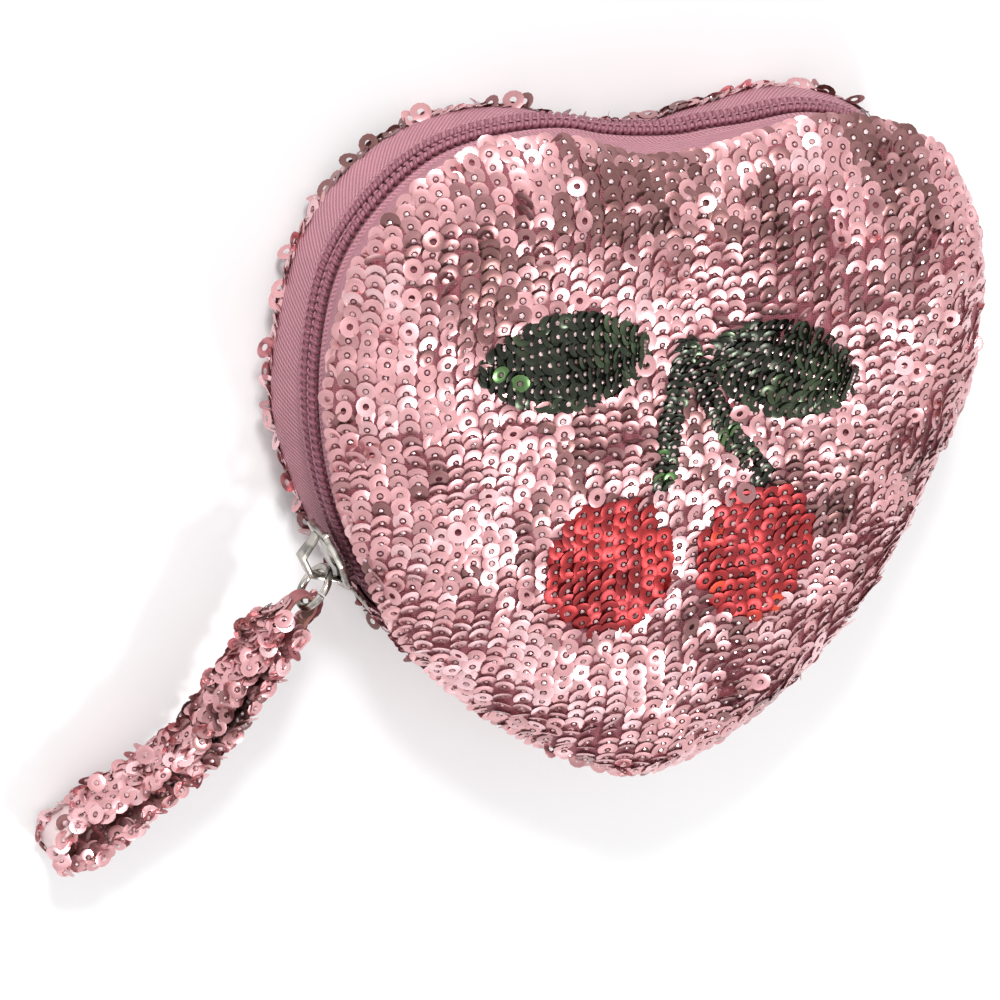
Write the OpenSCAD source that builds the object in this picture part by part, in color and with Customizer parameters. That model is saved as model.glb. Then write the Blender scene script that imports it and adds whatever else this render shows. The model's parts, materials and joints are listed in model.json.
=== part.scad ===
// Heart-shaped sequin purse, lying on its back, in millimetres.
// The origin is the centre of the flat resting face; X runs across the lobes, Y points to the dip
// between the lobes and Z points out of the decorated front.

/* [Heart outline] */
// Width across the lobes, measured at the seams
heart_w = 130; // [109:1:156]
// Radius over the top of each lobe
lobe_r = 36; // [31:0.5:43]
// Radius of the flank that the zip slider runs along
flank_r = 77; // [66:0.5:92]
// Radius of the nearly straight lower side
side_r = 113; // [100:1:136]
// Radius of the rounded tip
tip_r = 19; // [15:0.5:23]
// Radius of the dip between the lobes
cleft_r = 24; // [19:0.5:29]
// Direction from the flank's centre at which the lobe arc starts
lobe_deg = 166; // [160:1:168]
// Direction from the flank's centre at which the lower side starts
side_deg = 215.5; // [215:0.5:219]

/* [Body] */
// Depth of the side wall between the front and back seams
gusset_d = 21; // [17.5:0.5:25.5]
// Depth of the side wall at the tip
tip_d = 8; // [6.5:0.5:10]
// Length over which the side wall narrows to the tip
taper_l = 56; // [46:1:68]
// Height of the padded front above its seam
front_h = 12; // [10:0.5:14.5]
// Height of the back below its seam
back_h = 8; // [7:0.5:10]
// How far both panels swell out past their seams
swell = 1.7; // [0.8:0.1:2.2]
// Thickness of the sequin cloth, sequins included
panel_t = 1.6; // [1.2:0.1:2]
// Thickness of the wadding
pad_t = 2; // [1:0.1:2.6]
// Thickness of the lining
lining_t = 0.6; // [0.4:0.1:1]
// Free gap between two layers of cloth
layer_gap = 0.25; // [0.2:0.05:0.35]

/* [Zip] */
// Thickness of the woven tape
tape_t = 0.8; // [0.6:0.1:1]
// How far the zip sits inside the seam line
zip_inset = 2.2; // [1.6:0.1:2.8]
// Width of the closed chain, both coil rows
chain_w = 6.2; // [5.4:0.1:7]
// Height of the coil above the tape
coil_h = 2; // [1.6:0.1:2.4]
// Space between the rows for the slider's column
row_gap = 1.3; // [1.2:0.1:1.5]
// Where the zip ends, as a direction from the flank's centre
zip_end_deg = 213; // [212:0.1:214]
// Length of a metal stop along the chain
stop_l = 2.4; // [2:0.1:3]
// Height of a metal stop above the coil
stop_h = 0.7; // [0.5:0.1:1]

/* [Slider] */
// Length of the slider's wings
slider_l = 12.8; // [10.6:0.1:13.6]
// Width of the slider's wings
slider_w = 10.2; // [9.4:0.1:12.4]
// Thickness of the outer wing
wing_t = 1.2; // [1:0.1:1.5]
// Thickness of the inner wing
foot_t = 1; // [0.8:0.1:1.2]
// Running clearance round the chain
run_gap = 0.45; // [0.35:0.05:0.6]
// Thickness of the column that joins the wings
column_t = 0.6; // [0.5:0.05:0.65]
// Length of the column along the chain
column_l = 3.2; // [2.5:0.1:4]
// Length of the bridge at its feet
bridge_l = 11.4; // [9.6:0.1:12.4]
// Height of the bridge
bridge_h = 4.9; // [4.4:0.1:5.8]
// Width of the bridge
bridge_w = 2.4; // [2:0.1:2.8]
// Thickness of the bridge's strip
bridge_t = 1.1; // [0.9:0.05:1.25]

/* [Pull] */
// Ring from its centre to the middle of its wire
ring_r = 4.1; // [3.7:0.1:4.9]
// Radius of the ring's wire
wire_r = 0.72; // [0.6:0.02:0.8]
// Length of the strap from the ring to its fold
strap_l = 66; // [55:1:79]
// Width of the strap
strap_w = 12; // [10:0.5:14]
// Thickness of one layer of the strap, sequins included
strap_t = 2; // [1.6:0.1:2.4]
// Opening between the two layers at the fold
strap_gap = 3.2; // [2.8:0.1:3.8]
// Width of the strap where it is gathered through the ring
neck_w = 4; // [3.2:0.1:4.4]
// Thickness of the strap where it is gathered
neck_t = 1.4; // [1.1:0.1:1.6]
// Length over which the strap widens again
neck_l = 9; // [7:0.5:12]
// Sideways bow of the strap
strap_bow = 3.4; // [0:0.1:5]

/* [Joints] */
// How far the front opens
mouth_max_deg = 35; // [20:1:38]
// Where the front folds, as a direction from the flank's centre
mouth_deg = 197.5; // [195:0.1:198]
// Slider's place when the zip is closed, as a direction from the flank's centre
slider_deg = 204; // [203.8:0.1:204.6]
// Lean of the ring from the outward direction, towards the tip
ring_lean_deg = 28; // [16:1:36]
// Turn of the strap back from the ring's lean
strap_turn_deg = 6.5; // [0:0.5:10]

/* [Cherry motif] */
// Radius of a cherry
cherry_r = 13; // [10:0.1:13.6]
// Length of a leaf
leaf_l = 33; // [27:0.5:36]
// Width of a leaf
leaf_w = 19; // [15:0.5:22]
// Width of a stem
stem_w = 4.2; // [3:0.1:5]
// How far the motif stands above the cloth
motif_h = 0.7; // [0.5:0.05:0.9]

/* [Hidden] */

// Counts of steps along each arc of half the outline, and up a panel
cleft_n = 4;
lobe_n = 13;
flank_n = 8;
side_n = 5;
tip_n = 4;
rise_n = 6;
$fn = 48;

// Flat share of the back, and the power that squares off the front's dome
flat_share = 0.74;
dome_power = 0.72;
// Room that every cut tool runs past the solid
over = 5;

function dir(a) = [cos(a), sin(a)];
function smooth(t) = let (k = max(0, min(1, t))) k * k * (3 - 2 * k);
function flip(p) = [-p.x, p.y];
function reversed(v) = [for (i = [len(v) - 1 : -1 : 0]) v[i]];
function tail(v) = [for (i = [1 : 1 : len(v) - 1]) v[i]];

// Arc centres, first with the flank's centre on Y = 0, then raised to centre the outline
flank_x = flank_r - heart_w / 2;
lobe_c0 = [flank_x, 0] + (flank_r - lobe_r) * dir(lobe_deg);
side_c0 = [flank_x, 0] + (flank_r - side_r) * dir(side_deg);
tip_y0 = side_c0.y - sqrt(pow(side_r - tip_r, 2) - pow(side_c0.x, 2));
cleft_y0 = lobe_c0.y + sqrt(pow(lobe_r + cleft_r, 2) - pow(lobe_c0.x, 2));
raise = [0, -(lobe_c0.y + lobe_r + tip_y0 - tip_r) / 2];
flank_c = [flank_x, 0] + raise;
lobe_c = lobe_c0 + raise;
side_c = side_c0 + raise;
tip_c = [0, tip_y0] + raise;
cleft_c = [0, cleft_y0] + raise;
cleft_deg = atan2(lobe_c.y - cleft_c.y, lobe_c.x - cleft_c.x);
tip_deg = 360 + atan2(tip_c.y - side_c.y, tip_c.x - side_c.x);
bottom_y = tip_c.y - tip_r;

// Heights
mid_z = back_h + gusset_d / 2;
top_z = mid_z + gusset_d / 2 + front_h;
seam_gap = layer_gap / 2;
function seam_half(y) =
    (tip_d + (gusset_d - tip_d) * smooth((y - bottom_y) / taper_l)) / 2;

// Outline moved outwards by o: the left half runs from the dip to the tip
function arc(c, r, a0, a1, n) =
    [for (i = [0 : n]) c + r * dir(a0 + (a1 - a0) * i / n)];
function upper_left(o, end_deg) = concat(
    arc(cleft_c, cleft_r - o, -90, cleft_deg, cleft_n),
    tail(arc(lobe_c, lobe_r + o, cleft_deg + 180, lobe_deg, lobe_n)),
    tail(arc(flank_c, flank_r + o, lobe_deg, end_deg, flank_n)));
function lower_left(o, start_deg) = concat(
    arc(flank_c, flank_r + o, start_deg, side_deg, 1),
    tail(arc(side_c, side_r + o, side_deg, tip_deg, side_n)),
    tail(arc(tip_c, tip_r + o, tip_deg, 270, tip_n)));
function mirrored(half) = concat(reversed(half), [for (p = tail(half)) flip(p)]);
function outline(o) =
    let (half = concat(upper_left(o, side_deg), tail(lower_left(o, side_deg))))
    concat(half, reversed([for (i = [1 : len(half) - 2]) flip(half[i])]));
function zip_path(o, end_deg) = mirrored(upper_left(o, end_deg));
function gusset_path(o) = mirrored(reversed(lower_left(o, zip_end_deg + zip_clear_deg)));
zip_clear_deg = layer_gap / flank_r * 180 / PI;

// Fold line of the mouth, at the height of the front seam
fold_y = flank_c.y + flank_r * sin(mouth_deg);
fold_z = mid_z + seam_half(fold_y);
fold_gap = 0.3;
heart_cy = (flank_c.y + lobe_c.y) / 2 - lobe_r / 2;

// One ring of points on a panel. a runs from 0 at the seam to 90 at the crown
function front_ring(o, a, crown) =
    let (base = outline(0), line = outline(o + swell * sin(2 * a)), s = pow(cos(a), dome_power))
    [for (i = [0 : len(line) - 1])
        let (z = mid_z + seam_half(base[i].y) + seam_gap)
        [s * line[i].x, heart_cy + s * (line[i].y - heart_cy), z + (crown - z) * sin(a)]];
function back_ring(o, a, floor_z) =
    let (base = outline(0), line = outline(o + swell * sin(2 * a)),
         s = flat_share + (1 - flat_share) * cos(a))
    [for (i = [0 : len(line) - 1])
        let (z = mid_z - seam_half(base[i].y) - seam_gap)
        [s * line[i].x, heart_cy + s * (line[i].y - heart_cy),
         floor_z + (z - floor_z) * (1 - sin(a))]];
function front_rings(o, crown) =
    [for (k = [0 : rise_n - 1]) front_ring(o, 90 * k / rise_n, crown)];
function back_rings(o, floor_z) =
    [for (k = [0 : rise_n]) back_ring(o, 90 * k / rise_n, floor_z)];

// Solid between two stacks of rings, each closed by its crown point
module shell(outer, inner, outer_tip, inner_tip, up) {
    n = len(outer[0]);
    rings = concat(outer, reversed(inner));
    m = len(rings);
    k = len(outer);
    points = concat([for (r = rings) each r], [outer_tip, inner_tip]);
    function at(r, i) = ((r + m) % m) * n + (i + n) % n;
    quads = [for (r = [0 : m - 1]) if (r != k - 1) for (i = [0 : n - 1])
        each [[at(r, i), at(r, i + 1), at(r + 1, i + 1)], [at(r, i), at(r + 1, i + 1), at(r + 1, i)]]];
    caps = [for (i = [0 : n - 1])
        each [[at(k - 1, i), at(k - 1, i + 1), n * m], [n * m + 1, at(k, i + 1), at(k, i)]]];
    faces = concat(quads, caps);
    polyhedron(points, up ? [for (f = faces) reversed(f)] : faces, convexity = 6);
}
module front_layer(o, t, drop) {
    shell(front_rings(-o, top_z - drop), front_rings(-o - t, top_z - drop - t),
          [0, heart_cy, top_z - drop], [0, heart_cy, top_z - drop - t], true);
}
module back_layer(o, t, lift) {
    shell(back_rings(-o, lift), back_rings(-o - t, lift + t),
          [0, heart_cy, lift], [0, heart_cy, lift + t], false);
}

// Strip swept along lines that all have the same number of stations
module strip(lines, turn = false) {
    m = len(lines);
    n = len(lines[0]);
    points = [for (i = [0 : n - 1]) for (j = [0 : m - 1]) lines[j][i]];
    sides = [for (i = [0 : n - 2]) for (j = [0 : m - 1]) let (k = (j + 1) % m)
        each [[i * m + j, i * m + k, i * m + m + k], [i * m + j, i * m + m + k, i * m + m + j]]];
    ends = [for (j = [1 : m - 2]) each [[0, j + 1, j], [(n - 1) * m, (n - 1) * m + j, (n - 1) * m + j + 1]]];
    faces = concat(sides, ends);
    polyhedron(points, turn ? [for (f = faces) reversed(f)] : faces, convexity = 6);
}
function lift(path, base, up, at_seam, z) =
    [for (i = [0 : len(path) - 1])
        [path[i].x, path[i].y,
         mid_z + up * (at_seam ? seam_half(base[i].y) - z : z)]];

// The front is cut along its fold: the lower part stays, the upper part swings
module fold_cut_lower() {
    translate([-heart_w, fold_y - fold_gap / 2 - heart_w, -over])
        cube([2 * heart_w, heart_w, 2 * top_z]);
}
module fold_cut_upper() {
    translate([0, fold_y + fold_gap / 2, fold_z])
        rotate([0, 90, 0])
            linear_extrude(height = 2 * heart_w, center = true)
                polygon([
                    [top_z, 0], [0, 0], [-2 * front_h, 2 * front_h * tan(mouth_max_deg)],
                    [-2 * front_h, heart_w], [top_z, heart_w]]);
}
module fold_cut_wedge() {
    translate([0, fold_y + fold_gap / 2, fold_z])
        rotate([0, 90, 0])
            linear_extrude(height = 2 * heart_w, center = true)
                polygon([
                    [-fold_gap, 0],
                    [-2 * front_h - fold_gap, 0],
                    [-2 * front_h - fold_gap, 2 * front_h * tan(mouth_max_deg)]]);
}

cloth = [0.80, 0.52, 0.56];
lining_colour = [0.83, 0.62, 0.66];
wadding = [0.93, 0.91, 0.90];
tape_colour = [0.72, 0.45, 0.52];
coil_colour = [0.64, 0.38, 0.46];
metal = [0.78, 0.77, 0.74];
red = [0.80, 0.13, 0.12];
green = [0.10, 0.24, 0.12];

pad_o = panel_t + layer_gap;
lining_o = pad_o + pad_t + layer_gap;

module back_panel() { color(cloth) back_layer(0, panel_t, 0); }
module back_padding() { color(wadding) back_layer(pad_o, pad_t, pad_o); }
module back_lining() { color(lining_colour) back_layer(lining_o, lining_t, lining_o); }

module front_panel() {
    color(cloth) intersection() {
        front_layer(0, panel_t, 0);
        fold_cut_upper();
    }
}
module front_padding() {
    color(wadding) intersection() {
        front_layer(pad_o, pad_t, pad_o);
        fold_cut_upper();
    }
}
module front_lining() {
    color(lining_colour) intersection() {
        front_layer(lining_o, lining_t, lining_o);
        fold_cut_upper();
    }
}
module front_panel_lower() {
    color(cloth) intersection() {
        front_layer(0, panel_t, 0);
        fold_cut_lower();
    }
}
module front_padding_lower() {
    color(wadding) intersection() {
        front_layer(pad_o, pad_t, pad_o);
        fold_cut_lower();
    }
}
module front_lining_lower() {
    color(lining_colour) intersection() {
        front_layer(lining_o, lining_t, lining_o);
        fold_cut_lower();
    }
}
module front_fold() {
    color(cloth) intersection() {
        front_layer(0, panel_t, 0);
        fold_cut_wedge();
    }
}

// Lower side wall, from one end of the zip round the tip to the other
gusset_swell = 0.8;
module gusset_layer(o, t, swell_out) {
    base = gusset_path(0);
    strip([
        lift(gusset_path(-o), base, -1, true, seam_gap),
        lift(gusset_path(-o + swell_out), base, 1, false, 0),
        lift(gusset_path(-o), base, 1, true, seam_gap),
        lift(gusset_path(-o - t), base, 1, true, seam_gap),
        lift(gusset_path(-o - t + swell_out), base, 1, false, 0),
        lift(gusset_path(-o - t), base, -1, true, seam_gap)]);
}
module lower_gusset() { color(cloth) gusset_layer(0, panel_t, gusset_swell); }
module gusset_lining() { color(lining_colour) gusset_layer(pad_o, lining_t, gusset_swell); }

// Zip tapes and coil rows. up is 1 for the front half and -1 for the back half
ridge = -zip_inset;
seam_inset = 0.2;
tape_split = 0.4;
coil_seat = 0.05;
row_in = row_gap / 2;
row_out = chain_w / 2;
function tape_lines(end_deg, up) =
    let (base = zip_path(0, end_deg), o = -seam_inset)
    [
        lift(zip_path(o, end_deg), base, up, true, seam_gap),
        lift(zip_path(ridge, end_deg), base, up, false, row_out),
        lift(zip_path(ridge, end_deg), base, up, false, tape_split),
        lift(zip_path(ridge - tape_t, end_deg), base, up, false, tape_split),
        lift(zip_path(ridge - tape_t, end_deg), base, up, false, row_out),
        lift(zip_path(o - tape_t, end_deg), base, up, true, seam_gap)];
coil_round_share = 0.3;
function coil_lines(end_deg, up) =
    let (base = zip_path(0, end_deg), o = ridge + coil_seat, top = ridge + coil_h,
         c = coil_h * coil_round_share)
    [
        lift(zip_path(o, end_deg), base, up, false, row_out),
        lift(zip_path(top - c, end_deg), base, up, false, row_out),
        lift(zip_path(top, end_deg), base, up, false, row_out - c),
        lift(zip_path(top, end_deg), base, up, false, row_in + c),
        lift(zip_path(top - c, end_deg), base, up, false, row_in),
        lift(zip_path(o, end_deg), base, up, false, row_in)];
module above_fold() {
    translate([-heart_w, fold_y + fold_gap / 2, -over]) cube([2 * heart_w, heart_w, 2 * top_z]);
}
module back_zip_tape() { color(tape_colour) strip(tape_lines(zip_end_deg, -1), true); }
module back_coil() { color(coil_colour) strip(coil_lines(zip_end_deg, -1)); }
module front_zip_tape() {
    color(tape_colour) intersection() {
        strip(tape_lines(zip_end_deg, 1));
        above_fold();
    }
}
module front_zip_tape_ends() {
    color(tape_colour) intersection() {
        strip(tape_lines(zip_end_deg, 1));
        fold_cut_lower();
    }
}
module front_coil() {
    color(coil_colour) intersection() {
        strip(coil_lines(zip_end_deg, 1), true);
        above_fold();
    }
}
module front_coil_ends() {
    color(coil_colour) intersection() {
        strip(coil_lines(zip_end_deg, 1), true);
        fold_cut_lower();
    }
}

// Frame on the flank: X outwards from the seam line, Y towards the tip, Z up from the chain
module on_flank(deg) {
    translate([flank_c.x, flank_c.y, mid_z]) rotate([0, 0, deg]) translate([flank_r, 0, 0]) children();
}
stop_deg = stop_l / 2 / flank_r * 180 / PI;
chain_top = ridge + coil_h;
stop_seat = 0.06;
module stop_block(w, z) {
    translate([chain_top + stop_seat, -stop_l / 2, z - w / 2]) cube([stop_h, stop_l, w]);
}
module closed_end_stops() {
    color(metal) on_flank(zip_end_deg - stop_deg) {
        stop_block(row_out - row_in, (row_out + row_in) / 2);
        stop_block(row_out - row_in, -(row_out + row_in) / 2);
    }
}
module open_end_stop() {
    color(metal) mirror([1, 0, 0]) on_flank(zip_end_deg - stop_deg) stop_block(chain_w, 0);
}

// Slider
wing_x = chain_top + run_gap;
sag = pow(slider_l / 2, 2) / (2 * flank_r);
foot_x = ridge - tape_t - sag - run_gap;
flange_t = slider_w / 2 - row_out - run_gap;
tape_rise = (zip_inset - seam_inset) * (slider_w / 2 - row_out) / (gusset_d / 2 - row_out);
flange_x = ridge + tape_rise + run_gap;
shoulder_share = 0.55;
rear_share = 0.86;
wing_round = 0.9;
module wing_outline() {
    offset(r = wing_round) offset(delta = -wing_round)
        polygon([
            [-slider_l / 2, -slider_w / 2 * rear_share],
            [slider_l / 2 - slider_l * (1 - shoulder_share), -slider_w / 2],
            [slider_l / 2, -slider_w / 2 * shoulder_share],
            [slider_l / 2, slider_w / 2 * shoulder_share],
            [slider_l / 2 - slider_l * (1 - shoulder_share), slider_w / 2],
            [-slider_l / 2, slider_w / 2 * rear_share]]);
}
module wing(x, t) {
    translate([x, 0, 0]) rotate([90, 0, 90]) linear_extrude(height = t) wing_outline();
}
flange_end = slider_l * (shoulder_share - 1 / 2);
module slider_body() {
    color(metal) on_flank(slider_deg) {
        wing(wing_x, wing_t);
        intersection() {
            wing(flange_x, wing_x + wing_t / 2 - flange_x);
            for (side = [-1, 1])
                translate([0, -slider_l / 2, side * (slider_w / 2 - flange_t / 2) - flange_t / 2])
                    cube([wing_x + wing_t, slider_l / 2 + flange_end, flange_t]);
        }
        wing(foot_x - foot_t, foot_t);
        translate([foot_x - foot_t / 2, slider_l / 2 - column_l - column_t, -column_t / 2])
            cube([wing_x - foot_x + foot_t, column_l, column_t]);
    }
}
bridge_top_share = 0.42;
bridge_rear_share = 0.2;
bridge_x = wing_x + wing_t;
bridge_start = -bridge_l / 2;
bridge_rear = bridge_start + bridge_l * bridge_rear_share;
bridge_front = bridge_rear + bridge_l * bridge_top_share;
// Outline of the bridge in the plane of its height, drawn in by t
module bridge_outline(t) {
    polygon([
        [-over * sign(t), bridge_start + t],
        [0, bridge_start + t],
        [bridge_h - t, bridge_rear + t],
        [bridge_h - t, bridge_front - t / 2],
        [0, -bridge_start - t],
        [-over * sign(t), -bridge_start - t]]);
}
module slider_bridge() {
    color(metal) on_flank(slider_deg)
        translate([bridge_x, 0, -bridge_w / 2])
            linear_extrude(height = bridge_w)
                difference() {
                    bridge_outline(0);
                    bridge_outline(bridge_t);
                }
}

// The ring's wire sits in the bridge's corner nearest the tip, clear of the wing and of the leg
seat_gap = 0.4;
seat_h = wire_r + seat_gap;
leg_foot = -bridge_start - bridge_t;
leg_slope = (leg_foot - bridge_front + bridge_t / 2) / (bridge_h - bridge_t);
ring_seat = [bridge_x + seat_h, leg_foot - leg_slope * seat_h - seat_h * sqrt(1 + pow(leg_slope, 2))];
ring_joint = 0.25;
ring_joint_deg = ring_joint / ring_r * 180 / PI;
// Frame of the ring: X from its centre to the strap, Z up
module in_ring_frame() {
    on_flank(slider_deg) translate([ring_seat.x, ring_seat.y, 0]) rotate([0, 0, ring_lean_deg])
        translate([ring_r, 0, 0]) children();
}
// Frame of the strap: X from the middle of the ring's far wire to the fold, Z up
module in_strap_frame() {
    in_ring_frame() translate([ring_r, 0, 0]) rotate([0, 0, -strap_turn_deg]) children();
}
module jump_ring() {
    color(metal) in_ring_frame()
        rotate([90, 0, 0]) rotate([0, 0, 90 + ring_joint_deg / 2])
            rotate_extrude(angle = 360 - ring_joint_deg) translate([ring_r, 0]) circle(wire_r);
}

// Strap: a band that runs out from the ring, folds and comes back. It is gathered at the ring,
// and it slopes until its fold stands on the table.
loop_gap = 0.85;
loop_r = wire_r + loop_gap + neck_t / 2;
fold_r = (strap_gap + strap_t) / 2;
waist_share = 0.8;
loop_n = 8;
run_n = 12;
fold_x = strap_l - fold_r - strap_t / 2;
strap_drop = mid_z - strap_w / 2;
function widened(x) = smooth(x / neck_l);
function band_half(x) = (neck_w + (strap_w - neck_w) * widened(x)) / 2;
function band_t(x) = neck_t + (strap_t - neck_t) * widened(x);
function strap_bend(x) = strap_bow * sin(180 * smooth(x / strap_l));
function strap_side(t) =
    let (waist = fold_r * waist_share)
    [fold_x * t,
     t < 1 / 2 ? loop_r + (waist - loop_r) * smooth(2 * t) : waist + (fold_r - waist) * smooth(2 * t - 1)];
function half_turn(x, r, a0) = [for (i = [0 : loop_n]) [x, 0] + r * dir(a0 - 180 * i / loop_n)];
// One face of the band, seen from above. side is 1 for the outside and -1 for the inside
function strap_loop(side) = concat(
    half_turn(0, loop_r + side * neck_t / 2, 270),
    [for (i = [1 : run_n - 1]) let (p = strap_side(i / run_n)) [p.x, p.y + side * band_t(p.x) / 2]],
    half_turn(fold_x, fold_r + side * strap_t / 2, 90),
    [for (i = [run_n - 1 : -1 : 1]) let (p = strap_side(i / run_n)) [p.x, -p.y - side * band_t(p.x) / 2]]);
function strap_point(p, z) = [p.x, p.y + strap_bend(p.x), z - strap_drop * max(0, p.x) / strap_l];
module strap_band() {
    outer = strap_loop(1);
    inner = strap_loop(-1);
    n = len(outer);
    rows = [
        [for (p = outer) strap_point(p, band_half(p.x))],
        [for (p = outer) strap_point(p, -band_half(p.x))],
        [for (p = inner) strap_point(p, -band_half(p.x))],
        [for (p = inner) strap_point(p, band_half(p.x))]];
    color(cloth) in_strap_frame()
        polyhedron([for (i = [0 : n - 1]) for (j = [0 : 3]) rows[j][i]],
            [for (i = [0 : n - 1]) for (j = [0 : 3])
                let (a = i * 4 + j, b = i * 4 + (j + 1) % 4, c = (i + 1) % n * 4)
                each [[a, c + j, c + (j + 1) % 4], [a, c + (j + 1) % 4, b]]],
            convexity = 6);
}
// Stitches that hold the two layers together near the ring
tack_t = 1.1;
tack_clear = 0.1;
tack_station = 2;
tack_width_share = 0.6;
module strap_tack() {
    side = strap_side(tack_station / run_n);
    depth = 2 * (side.y - band_t(side.x) / 2 - tack_clear);
    width = 2 * band_half(side.x) * tack_width_share;
    color(cloth) in_strap_frame()
        translate(strap_point([side.x, 0], 0) - [tack_t / 2, depth / 2, width / 2])
            cube([tack_t, depth, width]);
}

// Cherry motif, as thin patches that follow the front. The stems meet at a share of the heart's
// width; from there, places are shares of the cherries' radius and of the leaves' length
stem_top_share = [0.004, 0.200];
stem_top = heart_w * stem_top_share;
stem_end_shares = [[-0.26, -1.10], [0.66, -1.34]];
cherry_shares = [[-1.04, -3.03], [1.13, -3.22]];
leaf_shares = [[-0.685, 0.000], [0.598, -0.209]];
leaf_turn = [1, -20];
module motif_patch() {
    lift_o = seam_gap + motif_h;
    intersection() {
        shell(front_rings(lift_o, top_z + lift_o), front_rings(seam_gap, top_z + seam_gap),
              [0, heart_cy, top_z + lift_o], [0, heart_cy, top_z + seam_gap], true);
        linear_extrude(height = 2 * top_z) children();
    }
}
module cherry(i) {
    color(red) intersection() {
        motif_patch() translate(stem_top + cherry_r * cherry_shares[i]) circle(cherry_r);
        fold_cut_lower();
    }
}
module leaf(i) {
    r = (pow(leaf_l, 2) + pow(leaf_w, 2)) / (4 * leaf_w);
    color(green) motif_patch()
        translate(stem_top + leaf_l * leaf_shares[i]) rotate(leaf_turn[i]) intersection() {
            translate([0, r - leaf_w / 2]) circle(r);
            translate([0, leaf_w / 2 - r]) circle(r);
        }
}
module cherry_left() { cherry(0); }
module cherry_right() { cherry(1); }
module leaf_left() { leaf(0); }
module leaf_right() { leaf(1); }
module stems() {
    color(green) intersection() {
        motif_patch() for (end = stem_end_shares) hull() {
            translate(stem_top) circle(stem_w / 2);
            translate(stem_top + cherry_r * end) circle(stem_w / 2);
        }
        fold_cut_upper();
    }
}

back_panel();
back_padding();
back_lining();
lower_gusset();
gusset_lining();
front_panel_lower();
front_padding_lower();
front_lining_lower();
front_panel();
front_padding();
front_lining();
front_fold();
back_zip_tape();
front_zip_tape();
front_zip_tape_ends();
back_coil();
front_coil();
front_coil_ends();
closed_end_stops();
open_end_stop();
cherry_left();
cherry_right();
leaf_left();
leaf_right();
stems();
slider_body();
slider_bridge();
jump_ring();
strap_band();
strap_tack();
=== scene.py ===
"""Heart-shaped sequin purse, built round its fixed frame as an add-on that is run as a script.

Lengths are in metres in the frame's own axes: X runs across the lobes, Y points to the dip between
them, Z points out of the decorated front, and the flat back rests on Z = 0.
"""

import json
import math
from contextlib import contextmanager
from functools import partial

import bmesh
import bpy
import numpy as np
from bpy.props import FloatProperty, FloatVectorProperty, IntProperty, PointerProperty
from mathutils import Matrix, Vector, noise
from mathutils.bvhtree import BVHTree
from mathutils.geometry import barycentric_transform


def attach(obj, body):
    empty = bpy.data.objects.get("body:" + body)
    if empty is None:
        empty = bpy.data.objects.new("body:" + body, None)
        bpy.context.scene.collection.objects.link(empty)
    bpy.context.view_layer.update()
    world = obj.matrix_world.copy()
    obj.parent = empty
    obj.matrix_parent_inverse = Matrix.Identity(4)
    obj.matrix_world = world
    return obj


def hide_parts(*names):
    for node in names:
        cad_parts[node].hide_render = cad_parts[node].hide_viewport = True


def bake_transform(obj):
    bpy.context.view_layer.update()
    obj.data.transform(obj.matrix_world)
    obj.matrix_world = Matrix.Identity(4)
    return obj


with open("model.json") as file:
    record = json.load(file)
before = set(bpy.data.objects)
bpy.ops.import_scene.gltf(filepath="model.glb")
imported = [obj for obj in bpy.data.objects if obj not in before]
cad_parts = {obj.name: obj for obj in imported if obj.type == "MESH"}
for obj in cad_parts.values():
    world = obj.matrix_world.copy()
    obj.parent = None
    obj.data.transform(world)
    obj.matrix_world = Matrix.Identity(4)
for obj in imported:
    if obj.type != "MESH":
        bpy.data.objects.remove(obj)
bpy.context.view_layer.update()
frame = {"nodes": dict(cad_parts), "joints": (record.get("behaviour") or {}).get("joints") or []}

bl_info = {
    "name": "Heart sequin purse",
    "version": (1, 0, 0),
    "blender": (4, 5, 0),
    "location": "3D View > Sidebar > Purse",
    "description": "Builds a heart-shaped sequin purse with its zip, slider and pull strap",
    "category": "Add Mesh",
}

MM = 0.001
# Noise vectors would otherwise take their seed from the clock.
NOISE_SEED = 7
JOINTS = {joint["name"]: joint for joint in frame["joints"]}


def srgb(red, green, blue):
    """A colour given in steps of 255 as the eye sees it, as the linear colour that a node takes."""
    parts = [c / 255 for c in (red, green, blue)]
    return tuple(c / 12.92 if c <= 0.04045 else ((c + 0.055) / 1.055) ** 2.4 for c in parts) + (1.0,)


def shaded(shade, factor):
    """A colour made darker or paler by a factor."""
    return tuple(min(c * factor, 1) for c in shade[:3]) + (1,)


def length(name, mm, description):
    return FloatProperty(name=name, description=description, default=mm * MM, unit="LENGTH", precision=5)


def angle(name, degrees, description):
    return FloatProperty(name=name, description=description, default=math.radians(degrees), unit="ROTATION")


def share(name, value, description):
    return FloatProperty(name=name, description=description, default=value, min=0, max=1, subtype="FACTOR")


def colour(name, red, green, blue, description):
    return FloatVectorProperty(
        name=name, description=description, size=4, min=0, max=1, subtype="COLOR",
        default=srgb(red, green, blue))


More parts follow.
